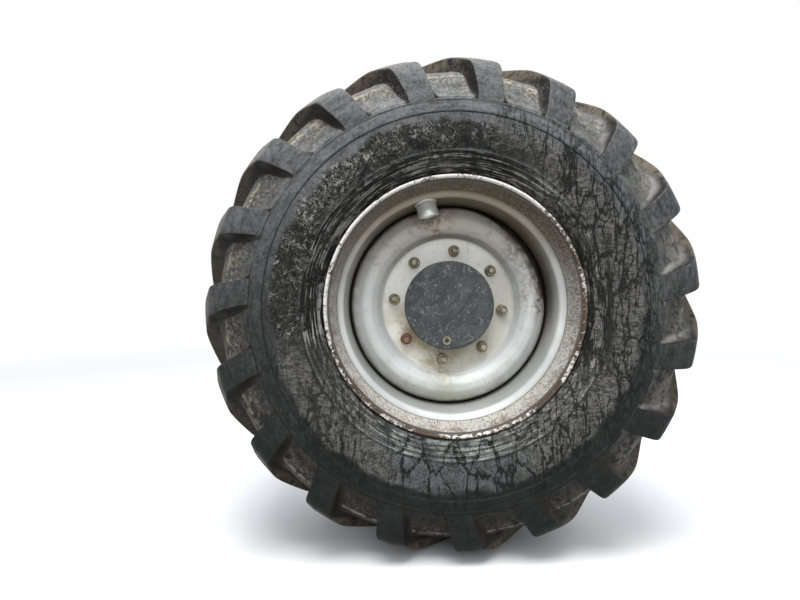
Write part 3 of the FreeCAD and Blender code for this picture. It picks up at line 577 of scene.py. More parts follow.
def makeDiscPaint():
    # dished disc: silver crown, pale ring where the nuts bear, black painted shade with dirt in the groove at its
    # edge, painted shade on the slope up from the ring at the top and a painted highlight along the ring's edge
    look = discLook
    material, coords = newMaterial("discPaint")
    radius = place(wheelPlace, coords=coords)["Radius"]
    x, z = axes(coords)[::2]
    cloud = noise(coords, 9.0, 7, 0.66)
    drift = (cloud - 0.5) * 0.2 + z
    topShadeAndDirt = span(drift, 0.02, 0.22)
    foot = span(drift, -0.14, -0.24)
    colour = blend(topShadeAndDirt, look["crown"], look["crownTop"])
    colour = blend(foot, colour, look["crownFoot"])
    # painted shade on the slope up from the ring, at the top
    colour = blend(zone(radius, *look["valleyBand"]) * topShadeAndDirt * 0.75, colour, look["valley"])
    ring = span(radius, *look["ringEdge"])
    lowLeft = span(z + x * 0.35, 0.0, -0.1) * span(noise(coords, 24.0, 9, 0.7), 0.38, 0.58, 0.45, 1.0)
    stain = lowLeft * (span(radius, 0.152, 0.118) * 0.55 + 0.45)
    colour = blend(ring, colour, blend(stain * 0.85, look["ring"], look["ringStain"]))
    colour = blend(span(x - z * 0.8, 0.0, 0.1) * ring * 0.6, colour, look["warm"])
    scuffs = marks(coords, 22.0, 0.52, 0.66, 12, 0.78) * (topShadeAndDirt * 0.35 + 0.25)
    colour = blend(scuffs, colour, look["scuff"])
    # painted highlight along the ring's edge
    colour = blend(zone(radius, *look["rubbedBand"]) * 0.5, colour, look["rubbed"])
    blots = marks(coords, 55.0, 0.42, 0.62, 9, 0.74, 0.3)
    for spot, reach, share, tint in look["stains"]:
        mask = patch(coords, (spot[0], wheelY - 0.07, spot[1]), reach) * blots * share
        colour = blend(mask, colour, tint)
    right = span(x, 0.04, 0.16) * span(z, -0.03, 0.06)
    brink = (right + cloud * 0.8) * -0.012 + look["brink"]
    edge = span(radius, brink - 0.008, brink)
    haze = span(radius, brink - 0.024, brink - 0.004) * marks(coords, 40.0, 0.34, 0.56, 9, 0.72, 0.0)
    colour = blend(haze * (right * 0.45 + 0.42), colour, look["edgeRust"])
    # black in the groove at the edge: painted shade with dirt
    colour = blend(edge, colour, look["edge"])
    finish = place(wornPaint, coords=coords, paint=colour, mud=0.06, stain=(topShadeAndDirt * 0.22 + 0.14) * (1.0 - ring),
                   rust=0.1, specks=0.24, bareRough=0.56)
    bare = 1.0 - largest(topShadeAndDirt * 0.7, ring, edge)
    return surface(material, finish["Colour"], finish["Rough"] + 0.12 - bare * 0.12, bare * 0.22,
                   finish["Height"], 0.35, 0.0005)


def makePlainPaint(name, paint, mud, stain, rust, dots, rough, metal, scale, strength=0.4, distance=0.0006):
    material, coords = newMaterial(name)
    worn = place(wornPaint, coords=coords, paint=paint, mud=mud, stain=stain, rust=rust, specks=dots,
                 bareRough=rough, scale=scale)
    return surface(material, worn["Colour"], worn["Rough"], worn["Cover"] * -metal + metal, worn["Height"],
                   strength, distance)


coverLook = {
    "dark": (0.014, 0.019, 0.021),
    "light": (0.062, 0.072, 0.070),
    "smudge": (0.009, 0.010, 0.011),
    "pale": (0.38, 0.40, 0.38),
    "arcs": {"Scale": 12.0, "Distortion": 1.8, "Detail": 3.0, "Detail Scale": 5.0},
    "arcsFrom": (0.075, 0.78, -0.09),     # moves the middle of the curved scuffs off the cover
}


def makeCoverPaint():
    # blue-grey cover: pale flecks, black smudges at the left and curved scuffs
    look = coverLook
    material, coords = newMaterial("coverPaint")
    x = axes(coords)[0]
    cloud = place(grime, coords=coords, scale=24.0, start=0.4, end=0.6)["Mask"]
    colour = blend(cloud, look["dark"], look["light"])
    colour = scaled(colour, span(noise(coords, 320.0, 4, 0.7), 0.38, 0.62, 0.65, 1.35))
    smudge = span(x, 0.05, -0.03, 0.25, 1.0) * marks(coords, 30.0, 0.49, 0.58, 9, 0.7, 0.8)
    colour = blend(smudge * 0.75, colour, look["smudge"])
    arcs = field("ShaderNodeTexWave", {"Vector": moved(coords, location=look["arcsFrom"]), **look["arcs"]},
                 "Fac",
                 wave_type="RINGS", rings_direction="SPHERICAL")
    colour = blend(span(arcs, 0.93, 0.99) * marks(coords, 16.0, 0.42, 0.5) * 0.85, colour, look["smudge"])
    scuffs = lines(coords, 30.0, 0.02, 3, 0.8) * marks(coords, 55.0, 0.5, 0.56)
    flecks = place(specks, coords=coords, scale=250.0, share=0.3, gather=0.34)["Mask"]
    colour = blend(largest(flecks * 0.9, scuffs * 0.5), colour, look["pale"])
    return surface(material, colour, cloud * 0.22 + 0.4, 0.0, noise(coords, 240.0) * 0.4 + flecks, 0.3,
                   0.0004)


armLook = {
    "paint": (0.105, 0.115, 0.112),
    "skin": (0.070, 0.074, 0.072),      # oil and dust on the rough casting
    "dust": (0.200, 0.175, 0.135),
    "machined": (0.165, 0.162, 0.150),
    "rust": (0.090, 0.052, 0.030),
    "padTop": 0.1217,
}


def makeArmPaint():
    # sand-cast arm: dark paint under dust, machined and lightly rusted where it bolts on
    look = armLook
    material, coords = newMaterial("armPaint")
    y, z = axes(coords)[1:]
    sand = noise(coords, 620.0, 5, 0.7)
    cloud = noise(coords, 17.0, 8, 0.68, 0.3)
    colour = blend(span(cloud, 0.42, 0.58), look["paint"], look["skin"])
    high = span((cloud - 0.5) * 0.16 + z, -0.01, 0.11)
    dust = high * marks(coords, 40.0, 0.4, 0.6, 9, 0.72, 0.4)
    colour = blend(dust * 0.65, colour, look["dust"])
    low = span(z, -0.02, -0.14)
    colour = blend(low * marks(coords, 30.0, 0.46, 0.58, 8, 0.7) * 0.8, colour, paintLook["mud"])
    face = largest(span(y, -0.0016, -0.0006), span(z, look["padTop"] - 0.001, look["padTop"]))
    steel = scaled(look["machined"], span(noise(coords, 90.0, 7, 0.7), 0.36, 0.64, 0.65, 1.25))
    steel = blend(marks(coords, 30.0, 0.46, 0.66, 11, 0.78, 0.4) * 0.75, steel, look["rust"])
    colour = blend(face, colour, steel)
    finish = place(wornPaint, coords=coords, paint=colour, mud=0.1, stain=0.12, rust=0.16, specks=0.1,
                   bareRough=0.5, scale=0.9)
    return surface(material, finish["Colour"], finish["Rough"] - face * 0.16, face * 0.35,
                   finish["Height"] * 0.6 + sand * (face * -0.9 + 1.0), 0.6, 0.001)


def makeMetal(name, bright, dark, scale, rough, metal, rustShare=0.0, rustySpot=None):
    material, coords = newMaterial(name)
    mask = place(grime, coords=coords, scale=scale, start=0.38, end=0.62)["Mask"]
    colour = blend(mask, bright, dark)
    rust = place(specks, coords=coords, scale=420.0, share=rustShare, gather=0.3)["Mask"]
    colour = blend(rust * 0.85, colour, paintLook["rust"])
    if rustySpot:
        rusty = patch(coords, rustySpot, 0.034) * span(noise(coords, 190.0, 5), 0.34, 0.48)
        colour = blend(rusty * 0.85, colour, paintLook["rustBright"])
    return surface(material, colour, mask * 0.3 + rough, mask * (-0.5 * metal) + metal,
                   noise(coords, 700.0) + rust, 0.25, 0.0003)


def makeSealRubber():
    material, coords = newMaterial("sealRubber")
    mask = place(grime, coords=coords, scale=30.0, start=0.45, end=0.68)["Mask"]
    colour = blend(mask, (0.02, 0.02, 0.021), (0.095, 0.085, 0.07))
    return surface(material, colour, mask * 0.3 + 0.45, 0.0, noise(coords, 500.0), 0.25, 0.0003)


rimPaint = makeRimPaint()
discPaint = makeDiscPaint()
guardPaint = makePlainPaint("guardPaint", (0.66, 0.67, 0.65), 0.10, 0.30, 0.12, 0.10, 0.32, 0.40, 1.6)
axlePaint = makePlainPaint("axlePaint", (0.095, 0.102, 0.100), 0.42, 0.30, 0.22, 0.10, 0.52, 0.0, 0.8,
                           0.7, 0.0016)
armPaint = makeArmPaint()
coverPaint = makeCoverPaint()
platedSteel = makeMetal("platedSteel", (0.35, 0.315, 0.230), (0.130, 0.110, 0.072), 75.0, 0.38, 0.5, 0.35,
                        (-0.1050, wheelY - 0.060, -0.0855))
bareSteel = makeMetal("bareSteel", (0.42, 0.42, 0.42), (0.20, 0.18, 0.15), 22.0, 0.28, 0.9, 0.08)
brass = makeMetal("brass", (0.50, 0.36, 0.13), (0.17, 0.13, 0.06), 50.0, 0.34, 0.8, 0.0)
sealRubber = makeSealRubber()


tyreLook = {
    "wet": (0.0045, 0.0045, 0.0045),    # washed or tarry rubber
    "pale": (0.310, 0.305, 0.280),      # dust on the relief of the wall
    "worn": (0.094, 0.092, 0.085),      # dusty rubber at the right
    "foot": (0.050, 0.055, 0.055),      # smoother rubber below the rim
    "low": (0.0135, 0.0138, 0.0135),    # smooth rubber low on the wheel, darker as painted shade
    "high": (0.108, 0.112, 0.113),      # smooth rubber at the top, lightened as painted sky sheen
    "scratch": (0.24, 0.24, 0.225),
    "fleck": (0.30, 0.30, 0.275),
    # dark in the scoops under the lugs' flanks: painted shade and dirt
    "scoop": (0.010, 0.0085, 0.007),
    "gloss": (0.200, 0.195, 0.185),     # painted sky sheen on the flanks that face the sky at the right
    "valley": (0.105, 0.088, 0.066),
    "valleyPale": (0.33, 0.30, 0.24),
    "washed": (0.25, 0.24, 0.21),       # painted sky sheen on the valleys' skin at the right
    "mud": (0.125, 0.100, 0.070),
    "mudDry": (0.20, 0.17, 0.13),
    "crease": (0.36, 0.32, 0.25),       # dried mud along the foot of the tread
    "specular": 0.12,
    # bands by radius, as start, end and softness
    "shoulderBand": (0.4655, 0.4690),
    "wallBand": (0.3500, 0.4150, 0.0070),
    "beadBand": (0.3520, 0.3490),
    "fingerBand": (0.3330, 0.3850, 0.0120),
    # a dark band under the collar's step as painted shade, and a pale band along the collar's ridge as painted
    # highlight
    "grooveBand": (0.4312, 0.4328, 0.0004),
    "ridgeBand": (0.4650, 0.4668, 0.0006),
    "creaseBand": (0.5165, 0.5225, 0.0024),
    "topsBand": (0.5440, 0.5640),
}


def makeTyreRubber():
    look = tyreLook
    material, coords = newMaterial("tyreRubber")
    spot = place(wheelPlace, coords=coords)
    radius, around = spot["Radius"], spot["Around"]
    x, z = axes(coords)[::2]
    lugHeight = field("ShaderNodeAttribute", output="Fac", attribute_name="lugHeight")
    fine = noise(coords, 150.0, 6, 0.72)
    tiny = noise(coords, 420.0, 5, 0.65)
    cloud = noise(coords, 7.0, 6, 0.62)
    mottle = noise(coords, 36.0, 11, 0.72, 0.7)
    tall = moved(coords, scale=(1.0, 1.0, 0.3))
    ragged = (noise(coords, 14.0, 9, 0.66) - 0.5) * 0.07 + radius
    shoulder = span(radius, *look["shoulderBand"])
    wall = zone(ragged, *look["wallBand"])
    bead = span(radius, *look["beadBand"])
    drift = (cloud - 0.5) * 0.36 + x
    lowLeft = span(drift, -0.13, -0.22) * span(z, -0.05, -0.13)
    right = largest(span(drift, 0.06, 0.2), lowLeft * 0.85)
    below = span(z, -0.19, -0.31) * span(x, 0.34, 0.2)
    # smooth rubber of collar and lugs: lighter towards the top as painted sky sheen, darker low down as painted shade
    up = span((cloud - 0.5) * 0.34 + z, -0.36, 0.56)
    scuff = noise(moved(around, scale=(0.5, 1.3, 0.5)), 60.0, 9, 0.72, 0.4)
    dapple = span(fine * 0.45 + scuff * 0.55, 0.38, 0.62, 0.5, 1.5)
    colour = scaled(blend(up, look["low"], look["high"]), dapple)
    # the wall at the left and the top: short pale marks on washed rubber
    crowd = span(cloud * 0.55 + mottle * 0.45, 0.42, 0.6)
    short = marks(moved(around, scale=(1.0, 0.8, 1.0)), 95.0, 0.55, 0.58, 7, 0.7, 0.7)
    curls = lines(coords, 82.0, 0.03, 3, 1.4)
    relief = largest(short * 0.85, curls * 0.9)
    relief = relief * span(crowd, 0.1, 0.75, 0.22, 1.0) * span(ragged, 0.345, 0.385, 0.35, 1.0)
    wallColour = blend(relief, scaled(look["wet"], span(fine, 0.35, 0.65, 0.6, 3.2)), look["pale"])
    # broken rings of dust along the bead's ridges
    rings = marks(moved(around, scale=(0.1, 2.3, 0.1)), 120.0, 0.5, 0.58, 4, 0.65, 0.25)
    rings = rings * span(mottle, 0.4, 0.54)
    dusty = rings * span(z, 0.24, -0.16, 0.65, 1.0)
    wallColour = blend(bead, wallColour, blend(dusty, look["wet"], look["pale"]))
    fingers = marks(around, 34.0, 0.51, 0.54, 9, 0.66, 0.9)
    fingers = fingers * zone(ragged, *look["fingerBand"]) * span(z, -0.12, 0.1)
    wallColour = blend(fingers * 0.92, wallColour, look["wet"])
    # below the rim: smoother, bluer rubber
    footColour = scaled(look["foot"], span(mottle, 0.36, 0.64, 0.45, 1.75))
    footColour = blend(rings * bead * 0.75, footColour, look["pale"])
    footColour = blend(curls * 0.35, footColour, look["pale"])
    wallColour = blend(below, wallColour, footColour)
    # at the right: dusty rubber, wrinkled
    wrinkle = noise(moved(coords, scale=(0.55, 1.0, 1.5)), 95.0, 5, 0.66, 1.3)
    wornColour = scaled(look["worn"], span(wrinkle, 0.38, 0.62, 0.38, 1.6))
    wornColour = blend(rings * bead * 0.7, wornColour, look["pale"])
    wallColour = blend(right, wallColour, wornColour)
    colour = blend(largest(wall, bead), colour, wallColour)
    # black cracks that branch down the right and the foot, run together beside the rim
    side = largest(right, below)
    cracks = place(branches, coords=tall, scale=62.0, width=0.075, wander=0.024, patch=0.34)["Mask"]
    cracks = cracks * marks(moved(tall, scale=(1.0, 1.0, 0.5)), 66.0, 0.46, 0.52, 6, 0.66)
    veins = place(branches, coords=tall, scale=24.0, width=0.05, wander=0.05, patch=0.38)["Mask"]
    drips = lines(moved(coords, scale=(1.0, 1.0, 0.12)), 30.0, 0.011, 5, 0.7)
    pool = marks(moved(tall, scale=(1.0, 1.0, 0.6)), 46.0, 0.47, 0.51, 10, 0.72, 0.8)
    pool = pool * span(radius, 0.385, 0.345) * span(maths("ABSOLUTE", z), 0.24, 0.1)
    pool = largest(pool, marks(tall, 70.0, 0.57, 0.6, 8, 0.7, 0.8) * 0.9)
    runs = largest(cracks, pool, drips) * right
    runs = largest(runs, largest(veins, drips) * side)
    runs = runs * span(radius, 0.475, 0.43, 0.35, 1.0)
    colour = blend(runs * 0.94, colour, look["wet"])
    # the groove at the foot of the collar darkened as painted shade, and a painted highlight along the ridge at its
    # top
    colour = blend(zone(radius, *look["grooveBand"]) * 0.9, colour, look["wet"])
    ridgeHighlight = zone(radius, *look["ridgeBand"]) * span(mottle, 0.44, 0.56) * up
    colour = blend(ridgeHighlight * 0.6, colour, look["scratch"])
    # scoops under the lugs' flanks darkened as painted shade and dirt, flanks facing up at the right lightened as
    # painted sky sheen; scratches, flecks
    sides = zone(lugHeight, 0.04, 0.93, 0.03)
    sunny = span(z * 0.12 + x, 0.28, 0.4) * span(z, -0.48, -0.36)
    streakySheen = blend(span(mottle, 0.4, 0.58), scaled(look["gloss"], 0.35), look["gloss"])
    sideColour = blend(sunny * span(lugHeight, 0.75, 0.1), look["scoop"], streakySheen)
    colour = blend(sides * 0.94, colour, sideColour)
    scratches = lines(coords, 70.0, 0.016, 8, 0.5) * span(cloud, 0.44, 0.58) * up
    colour = blend(scratches * 0.55, colour, look["scratch"])
    flecks = place(specks, coords=coords, scale=230.0, share=0.3, gather=0.36)["Mask"]
    colour = blend(flecks * (up * 0.3 + 0.12), colour, look["fleck"])
    # mud: dried in the valleys between the lugs, paler at the right as painted sky sheen, rubbed onto the tread's
    # tops, pale along the tread's foot
    clods = noise(coords, 52.0, 10, 0.76, 0.6)
    valley = span(lugHeight, 0.06, 0.01) * shoulder
    muddy = valley * span(clods, 0.44, 0.54) * span(radius, 0.476, 0.52, 0.3, 1.0)
    muddy = muddy * span(z, -0.46, -0.24, 0.35, 1.0)
    valleyColour = blend(span(fine, 0.46, 0.6), look["valley"], look["valleyPale"])
    # paler at the right: painted sky sheen
    valleyColour = blend(span(x, 0.15, 0.4) * 0.7, valleyColour, look["washed"])
    colour = blend(muddy * 0.8, colour, valleyColour)
    crease = valley * zone(radius, *look["creaseBand"]) * span(clods, 0.44, 0.56)
    colour = blend(crease * 0.75, colour, look["crease"])
    tops = span(radius, *look["topsBand"]) * span(clods, 0.38, 0.56)
    colour = blend(tops * 0.8, colour, blend(fine, look["mud"], look["mudDry"]))
    matt = largest(muddy, tops)
    rough = largest(span(mottle, 0.4, 0.6) * 0.25 + 0.36, matt * 0.9)
    height = mottle * 0.7 + tiny * 0.22 + matt * clods + wall * relief - runs * 0.5
    return surface(material, colour, rough, 0.0, height, 0.6, 0.0014, look["specular"])


tyreRubber = makeTyreRubber()
print("finishes made")


# Shapes turned about the axle

def rounded(corners, closed, steps=7, hold=0.0025):
    # corners are (out from the centre plane, radius, bend); bends become arcs with a held row beside each
    points = []
    count = len(corners)
    for index, (out, radius, bend) in enumerate(corners):
        here = np.array((out, radius))
        if bend == 0 or (not closed and index in (0, count - 1)):
            points.append(here)
            continue
        before = np.array(corners[index - 1][:2]) - here
        after = np.array(corners[(index + 1) % count][:2]) - here
        lengthA, lengthB = np.linalg.norm(before), np.linalg.norm(after)
        a, b = before / lengthA, after / lengthB
        half = math.acos(max(-1, min(1, float(a @ b)))) / 2
        cut = min(bend / math.tan(half), 0.49 * lengthA, 0.49 * lengthB)
        bend = cut * math.tan(half)
        middle = here + (a + b) / np.linalg.norm(a + b) * bend / math.sin(half)
        start, end = here + a * cut - middle, here + b * cut - middle
        sweep = math.pi - 2 * half
        turn = math.copysign(sweep, start[0] * end[1] - start[1] * end[0])
        if lengthA > 2 * cut + 3 * hold:
            points.append(here + a * (cut + hold))
        for step in range(steps + 1):
            angle = turn * step / steps
            c, s = math.cos(angle), math.sin(angle)
            points.append(middle + (start[0] * c - start[1] * s, start[0] * s + start[1] * c))
        if lengthB > 2 * cut + 3 * hold:
            points.append(here + b * (cut + hold))
    return points


def closedVolume(mesh):
    mesh.calc_loop_triangles()
    spots = np.zeros(len(mesh.vertices) * 3)
    mesh.vertices.foreach_get("co", spots)
    corners = np.zeros(len(mesh.loop_triangles) * 3, int)
    mesh.loop_triangles.foreach_get("vertices", corners)
    a, b, c = spots.reshape(-1, 3)[corners.reshape(-1, 3)].transpose(1, 0, 2)
    return float((np.cross(a, b) * c).sum() / 6)


def makeObject(name, points, faces):
    mesh = bpy.data.meshes.new(name)
    mesh.from_pydata([tuple(map(float, spot)) for spot in points], [], faces)
    mesh.shade_smooth()
    if closedVolume(mesh) < 0:
        mesh.flip_normals()
    return newObject(name, mesh)


def lathe(name, outline, closed, around, along, reachAt=lambda radius, angle: radius):
    # a shape turned about Y; along gives a row's y, reachAt its radius, which may change with the angle
    points, rows = [], []
    for out, radius in outline:
        if radius < 1e-6:
            rows.append([len(points)] * around)
            points.append((0, along(out), 0))
            continue
        rows.append(list(range(len(points), len(points) + around)))
        for step in range(around):
            angle = 2 * math.pi * step / around
            reach = reachAt(radius, angle)
            points.append((reach * math.sin(angle), along(out), reach * math.cos(angle)))
    faces = []
    for here, there in zip(rows, rows[1:] + (rows[:1] if closed else [])):
        for step in range(around):
            after = (step + 1) % around
            face = tuple(dict.fromkeys((here[step], here[after], there[after], there[step])))
            if len(face) > 2:
                faces.append(face)
    return makeObject(name, points, faces)


def turned(name, corners, closed=True, around=240):
    # about the axle; an open outline starts and ends on it
    return lathe(name, rounded(corners, closed), closed, around, lambda out: wheelY - out)


def coat(piece, material):
    piece.data.materials.clear()
    piece.data.materials.append(material)


def dress(piece, body, slot, material, *stands):
    coat(piece, material)
    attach(piece, body)
    if stands:
        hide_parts(*stands)


# Geometry Nodes: a ring of equal pieces about the axle, and a weld bead along a closed path

def realMesh(geometry, finish):
    real = field("GeometryNodeRealizeInstances", {0: geometry})
    return field("GeometryNodeSetMaterial", {"Geometry": real, "Material": finish})


def makeRingTree():
    tree, given, result = newTree("ringOfPieces", "GeometryNodeTree", {
        "Count": 8, "Circle": 0.1375, "First": 0.0, "Along": 0.0, "Piece": "Object", "Finish": "Material"},
        {"Geometry": "Geometry"})
    line = field("GeometryNodeMeshLine", {"Count": given["Count"]})
    turn = field("GeometryNodeInputIndex") * (2 * math.pi / given["Count"]) + given["First"]
    spot = joined(given["Circle"] * maths("SINE", turn), given["Along"],
                  given["Circle"] * maths("COSINE", turn))
    put = field("GeometryNodeSetPosition", {"Geometry": line, "Position": spot})
    copies = field("GeometryNodeInstanceOnPoints", {
        "Points": put, "Instance": field("GeometryNodeObjectInfo", {"Object": given["Piece"]}, "Geometry"),
        "Rotation": joined(y=turn)})
    feed(result[0], realMesh(copies, given["Finish"]))
    return tree


def makeWeldTree():
    tree, given, result = newTree("weldAlong", "GeometryNodeTree", {
        "Path": "Object", "Width": 0.004, "Ripple": 0.004, "Step": 0.0012, "Seed": 3.0, "Finish": "Material"},
        {"Geometry": "Geometry"})
    path = field("GeometryNodeObjectInfo", {"Object": given["Path"]}, "Geometry")
    fine = field("GeometryNodeResampleCurve", {"Curve": field("GeometryNodeMeshToCurve", {0: path}),
                                               "Length": given["Step"]}, mode="LENGTH")
    along = field("GeometryNodeSplineParameter", output="Length")
    wave = maths("SINE", maths("FRACT", along / given["Ripple"]) * math.pi)
    wander = field("ShaderNodeTexNoise", {"W": along * 60.0 + given["Seed"]}, "Fac", noise_dimensions="1D")
    swell = wave * 0.22 + (wander * 0.5 + 0.6)
    bead = field("GeometryNodeSetCurveRadius", {"Curve": fine, "Radius": swell})
    profile = field("GeometryNodeCurvePrimitiveCircle", {"Resolution": 10, "Radius": given["Width"]})
    tube = makeNode("GeometryNodeCurveToMesh", {"Curve": bead, "Profile Curve": profile})
    for socket in tube.inputs:
        if socket.name == "Scale":
            feed(socket, swell)
    feed(result[0], realMesh(Field(tube.outputs[0]), given["Finish"]))
    return tree


ringTree = makeRingTree()
weldTree = makeWeldTree()


def runTree(name, tree, source, values):
    # run a tree on a source that it takes in, and keep its result as a plain mesh
    holder = newObject(name, bpy.data.meshes.new(name))
    modifier = holder.modifiers.new(name, "NODES")
    modifier.node_group = tree
    for item in tree.interface.items_tree:
        if item.in_out == "INPUT" and item.name.lower() in values:
            modifier[item.identifier] = values[item.name.lower()]
    bpy.context.view_layer.update()
    mesh = bpy.data.meshes.new_from_object(holder.evaluated_get(bpy.context.evaluated_depsgraph_get()))
    mesh.name = name
    holder.modifiers.remove(modifier)
    holder.data = mesh
    mesh.shade_smooth()
    bpy.data.objects.remove(source)
    return holder


def ringOf(name, source, **values):
    return runTree(name, ringTree, source, dict(values, piece=source))


def weldAlong(name, points, **values):
    mesh = bpy.data.meshes.new(name + "Path")
    count = len(points)
    mesh.from_pydata([tuple(map(float, p)) for p in points], [(i, (i + 1) % count) for i in range(count)], [])
    source = newObject(name + "Path", mesh)
    piece = runTree(name, weldTree, source, dict(values, path=source))
    if closedVolume(piece.data) < 0:
        piece.data.flip_normals()
    return piece


# Tyre: one closed mesh whose columns follow the lugs' flanks

tyreForm = {
    "lugs": 19,
    "firstLug": 9.1,        # degrees clockwise from the top, seen from outside
    "sweep": 25.0,          # degrees that a lug turns from its shoulder end to its centre end
    "endHalf": 3.6,         # half a lug's width in degrees, at its root
    "centreHalf": 2.7,
    "endY": 0.247,          # a lug's shoulder end, from the centre plane
    "overlap": 0.012,       # how far it runs past the centre plane
    # from the centre plane outwards: y and radius of the casing, y and radius of the lug's top
    "tread": [
        (0.000, 0.5490, 0.000, 0.5858),
        (0.060, 0.5480, 0.060, 0.5848),
        (0.120, 0.5445, 0.120, 0.5815),
        (0.165, 0.5400, 0.172, 0.5757),
        (0.188, 0.5370, 0.200, 0.5670),
    ],
    "shoulder": [
        (0.188, 0.5370, 0.200, 0.5670),
        (0.205, 0.5290, 0.222, 0.5570),
        (0.216, 0.5180, 0.2335, 0.5510),
        (0.2225, 0.5050, 0.241, 0.5420),
        (0.2275, 0.4920, 0.2455, 0.5290),
        (0.2345, 0.4790, 0.2472, 0.5080),
        (0.2420, 0.4700, 0.2476, 0.4860),
        (0.2458, 0.4662, 0.2472, 0.4700),
        (0.2461, 0.4630, 0.2461, 0.4630),
    ],
    "nearRows": [0.0, 0.10, 0.145, 0.18, 0.215, 0.25],   # places of the rows where the two sides' lugs meet
    "treadRows": 18,
    "shoulderRows": 24,
    "wallTop": 0.463,       # radii of the sidewall's rows
    "wallFoot": 0.3045,
    "wallColumns": 342,
    "bulge": (0.2488, 0.425),
    "foot": (0.2185, 0.3045),
    # raised rings on the sidewall: radius, half width, height
    "rings": [(0.3480, 0.0020, 0.0022), (0.3365, 0.0020, 0.0020), (0.3250, 0.0020, 0.0020),
              (0.3140, 0.0022, 0.0024), (0.4595, 0.0018, 0.0012)],
    "collar": (0.4325, 0.0009, 0.0022),   # radius of the step, its half width, its height
    "liner": [(0.2057, 0.3040), (0.2057, 0.2965), (0.168, 0.290), (0.168, 0.305), (0.200, 0.360),
              (0.222, 0.425), (0.195, 0.495), (0.130, 0.515)],
}

# A lug's columns across its width: share of its half width, height from the casing (0) to the top (1)
flank = [(1.50, 0.0), (1.30, 0.03), (1.16, 0.11), (1.07, 0.26), (1.02, 0.50),
         (0.985, 0.78), (0.965, 0.93), (0.94, 0.985), (0.88, 1.0)]
lugColumns = ([(-share, height) for share, height in flank] + [(-0.4, 1.0), (0.0, 1.0), (0.4, 1.0)]
              + [(share, height) for share, height in reversed(flank)])


def alongTable(table, places):
    # smooth curve through the rows of a table, places counted in rows
    table = np.array(table, float)
    slope = np.gradient(table, axis=0)
    low = np.clip(np.floor(places).astype(int), 0, len(table) - 2)
    t = (places - low)[:, None]
    a, b = table[low], table[low + 1]
    p, q = slope[low], slope[low + 1]
    return ((2 * t**3 - 3 * t**2 + 1) * a + (t**3 - 2 * t**2 + t) * p
            + (3 * t**2 - 2 * t**3) * b + (t**3 - t**2) * q)


def circleThrough(a, b, c):
    (ax, ay), (bx, by), (cx, cy) = a, b, c
    d = 2 * (ax * (by - cy) + bx * (cy - ay) + cx * (ay - by))
    ux = ((ax**2 + ay**2) * (by - cy) + (bx**2 + by**2) * (cy - ay) + (cx**2 + cy**2) * (ay - by)) / d
    uy = ((ax**2 + ay**2) * (cx - bx) + (bx**2 + by**2) * (ax - cx) + (cx**2 + cy**2) * (bx - ax)) / d
    return ux, uy, math.hypot(ax - ux, ay - uy)


def softStep(value, edge, halfWidth):
    t = np.clip((value - edge + halfWidth) / (2 * halfWidth), 0, 1)
    return t * t * (3 - 2 * t)


def wallRows():
    # the sidewall's rows from its top to its foot: y and radius, with the rings and the collar raised
    form = tyreForm
    marks = set(np.linspace(form["wallTop"], form["wallFoot"], 20).round(5))
    for radius, half, height in form["rings"]:
        marks |= {round(radius + shift * half, 5) for shift in (-1, -0.45, 0.45, 1)}
    edge, half, height = form["collar"]
    marks |= {round(edge + shift * half, 5) for shift in (-1, -0.3, 0.3, 1)}
    radii = np.array(sorted((m for m in marks if m < form["wallTop"] - 0.002), reverse=True))
    middleY, middleR, bend = circleThrough(form["shoulder"][-1][:2], form["bulge"], form["foot"])
    side = np.sqrt(bend**2 - (radii - middleR) ** 2) + middleY
    lift = np.zeros_like(radii)
    for radius, half, height in form["rings"]:
        lift += height * (1 - softStep(np.abs(radii - radius), half * 0.7, half * 0.3))
    edge, half, height = form["collar"]
    lift += height * (softStep(radii, edge, half) - 1)
    normalY, normalR = (side - middleY) / bend, (radii - middleR) / bend
    return side + lift * normalY, radii + lift * normalR


def bridge(anglesA, anglesB, startA, startB):
    # triangles between two closed rows whose columns differ
    faces, a, b = [], 0, 0
    countA, countB = len(anglesA), len(anglesB)
    while a < countA or b < countB:
        nextA = anglesA[a + 1] if a + 1 < countA else anglesA[0] + 360
        nextB = anglesB[b + 1] if b + 1 < countB else anglesB[0] + 360
        if b == countB or (a < countA and nextA <= nextB):
            faces.append((startA + a % countA, startA + (a + 1) % countA, startB + b % countB))
            a += 1
        else:
            faces.append((startA + a % countA, startB + (b + 1) % countB, startB + b % countB))
            b += 1
    return faces


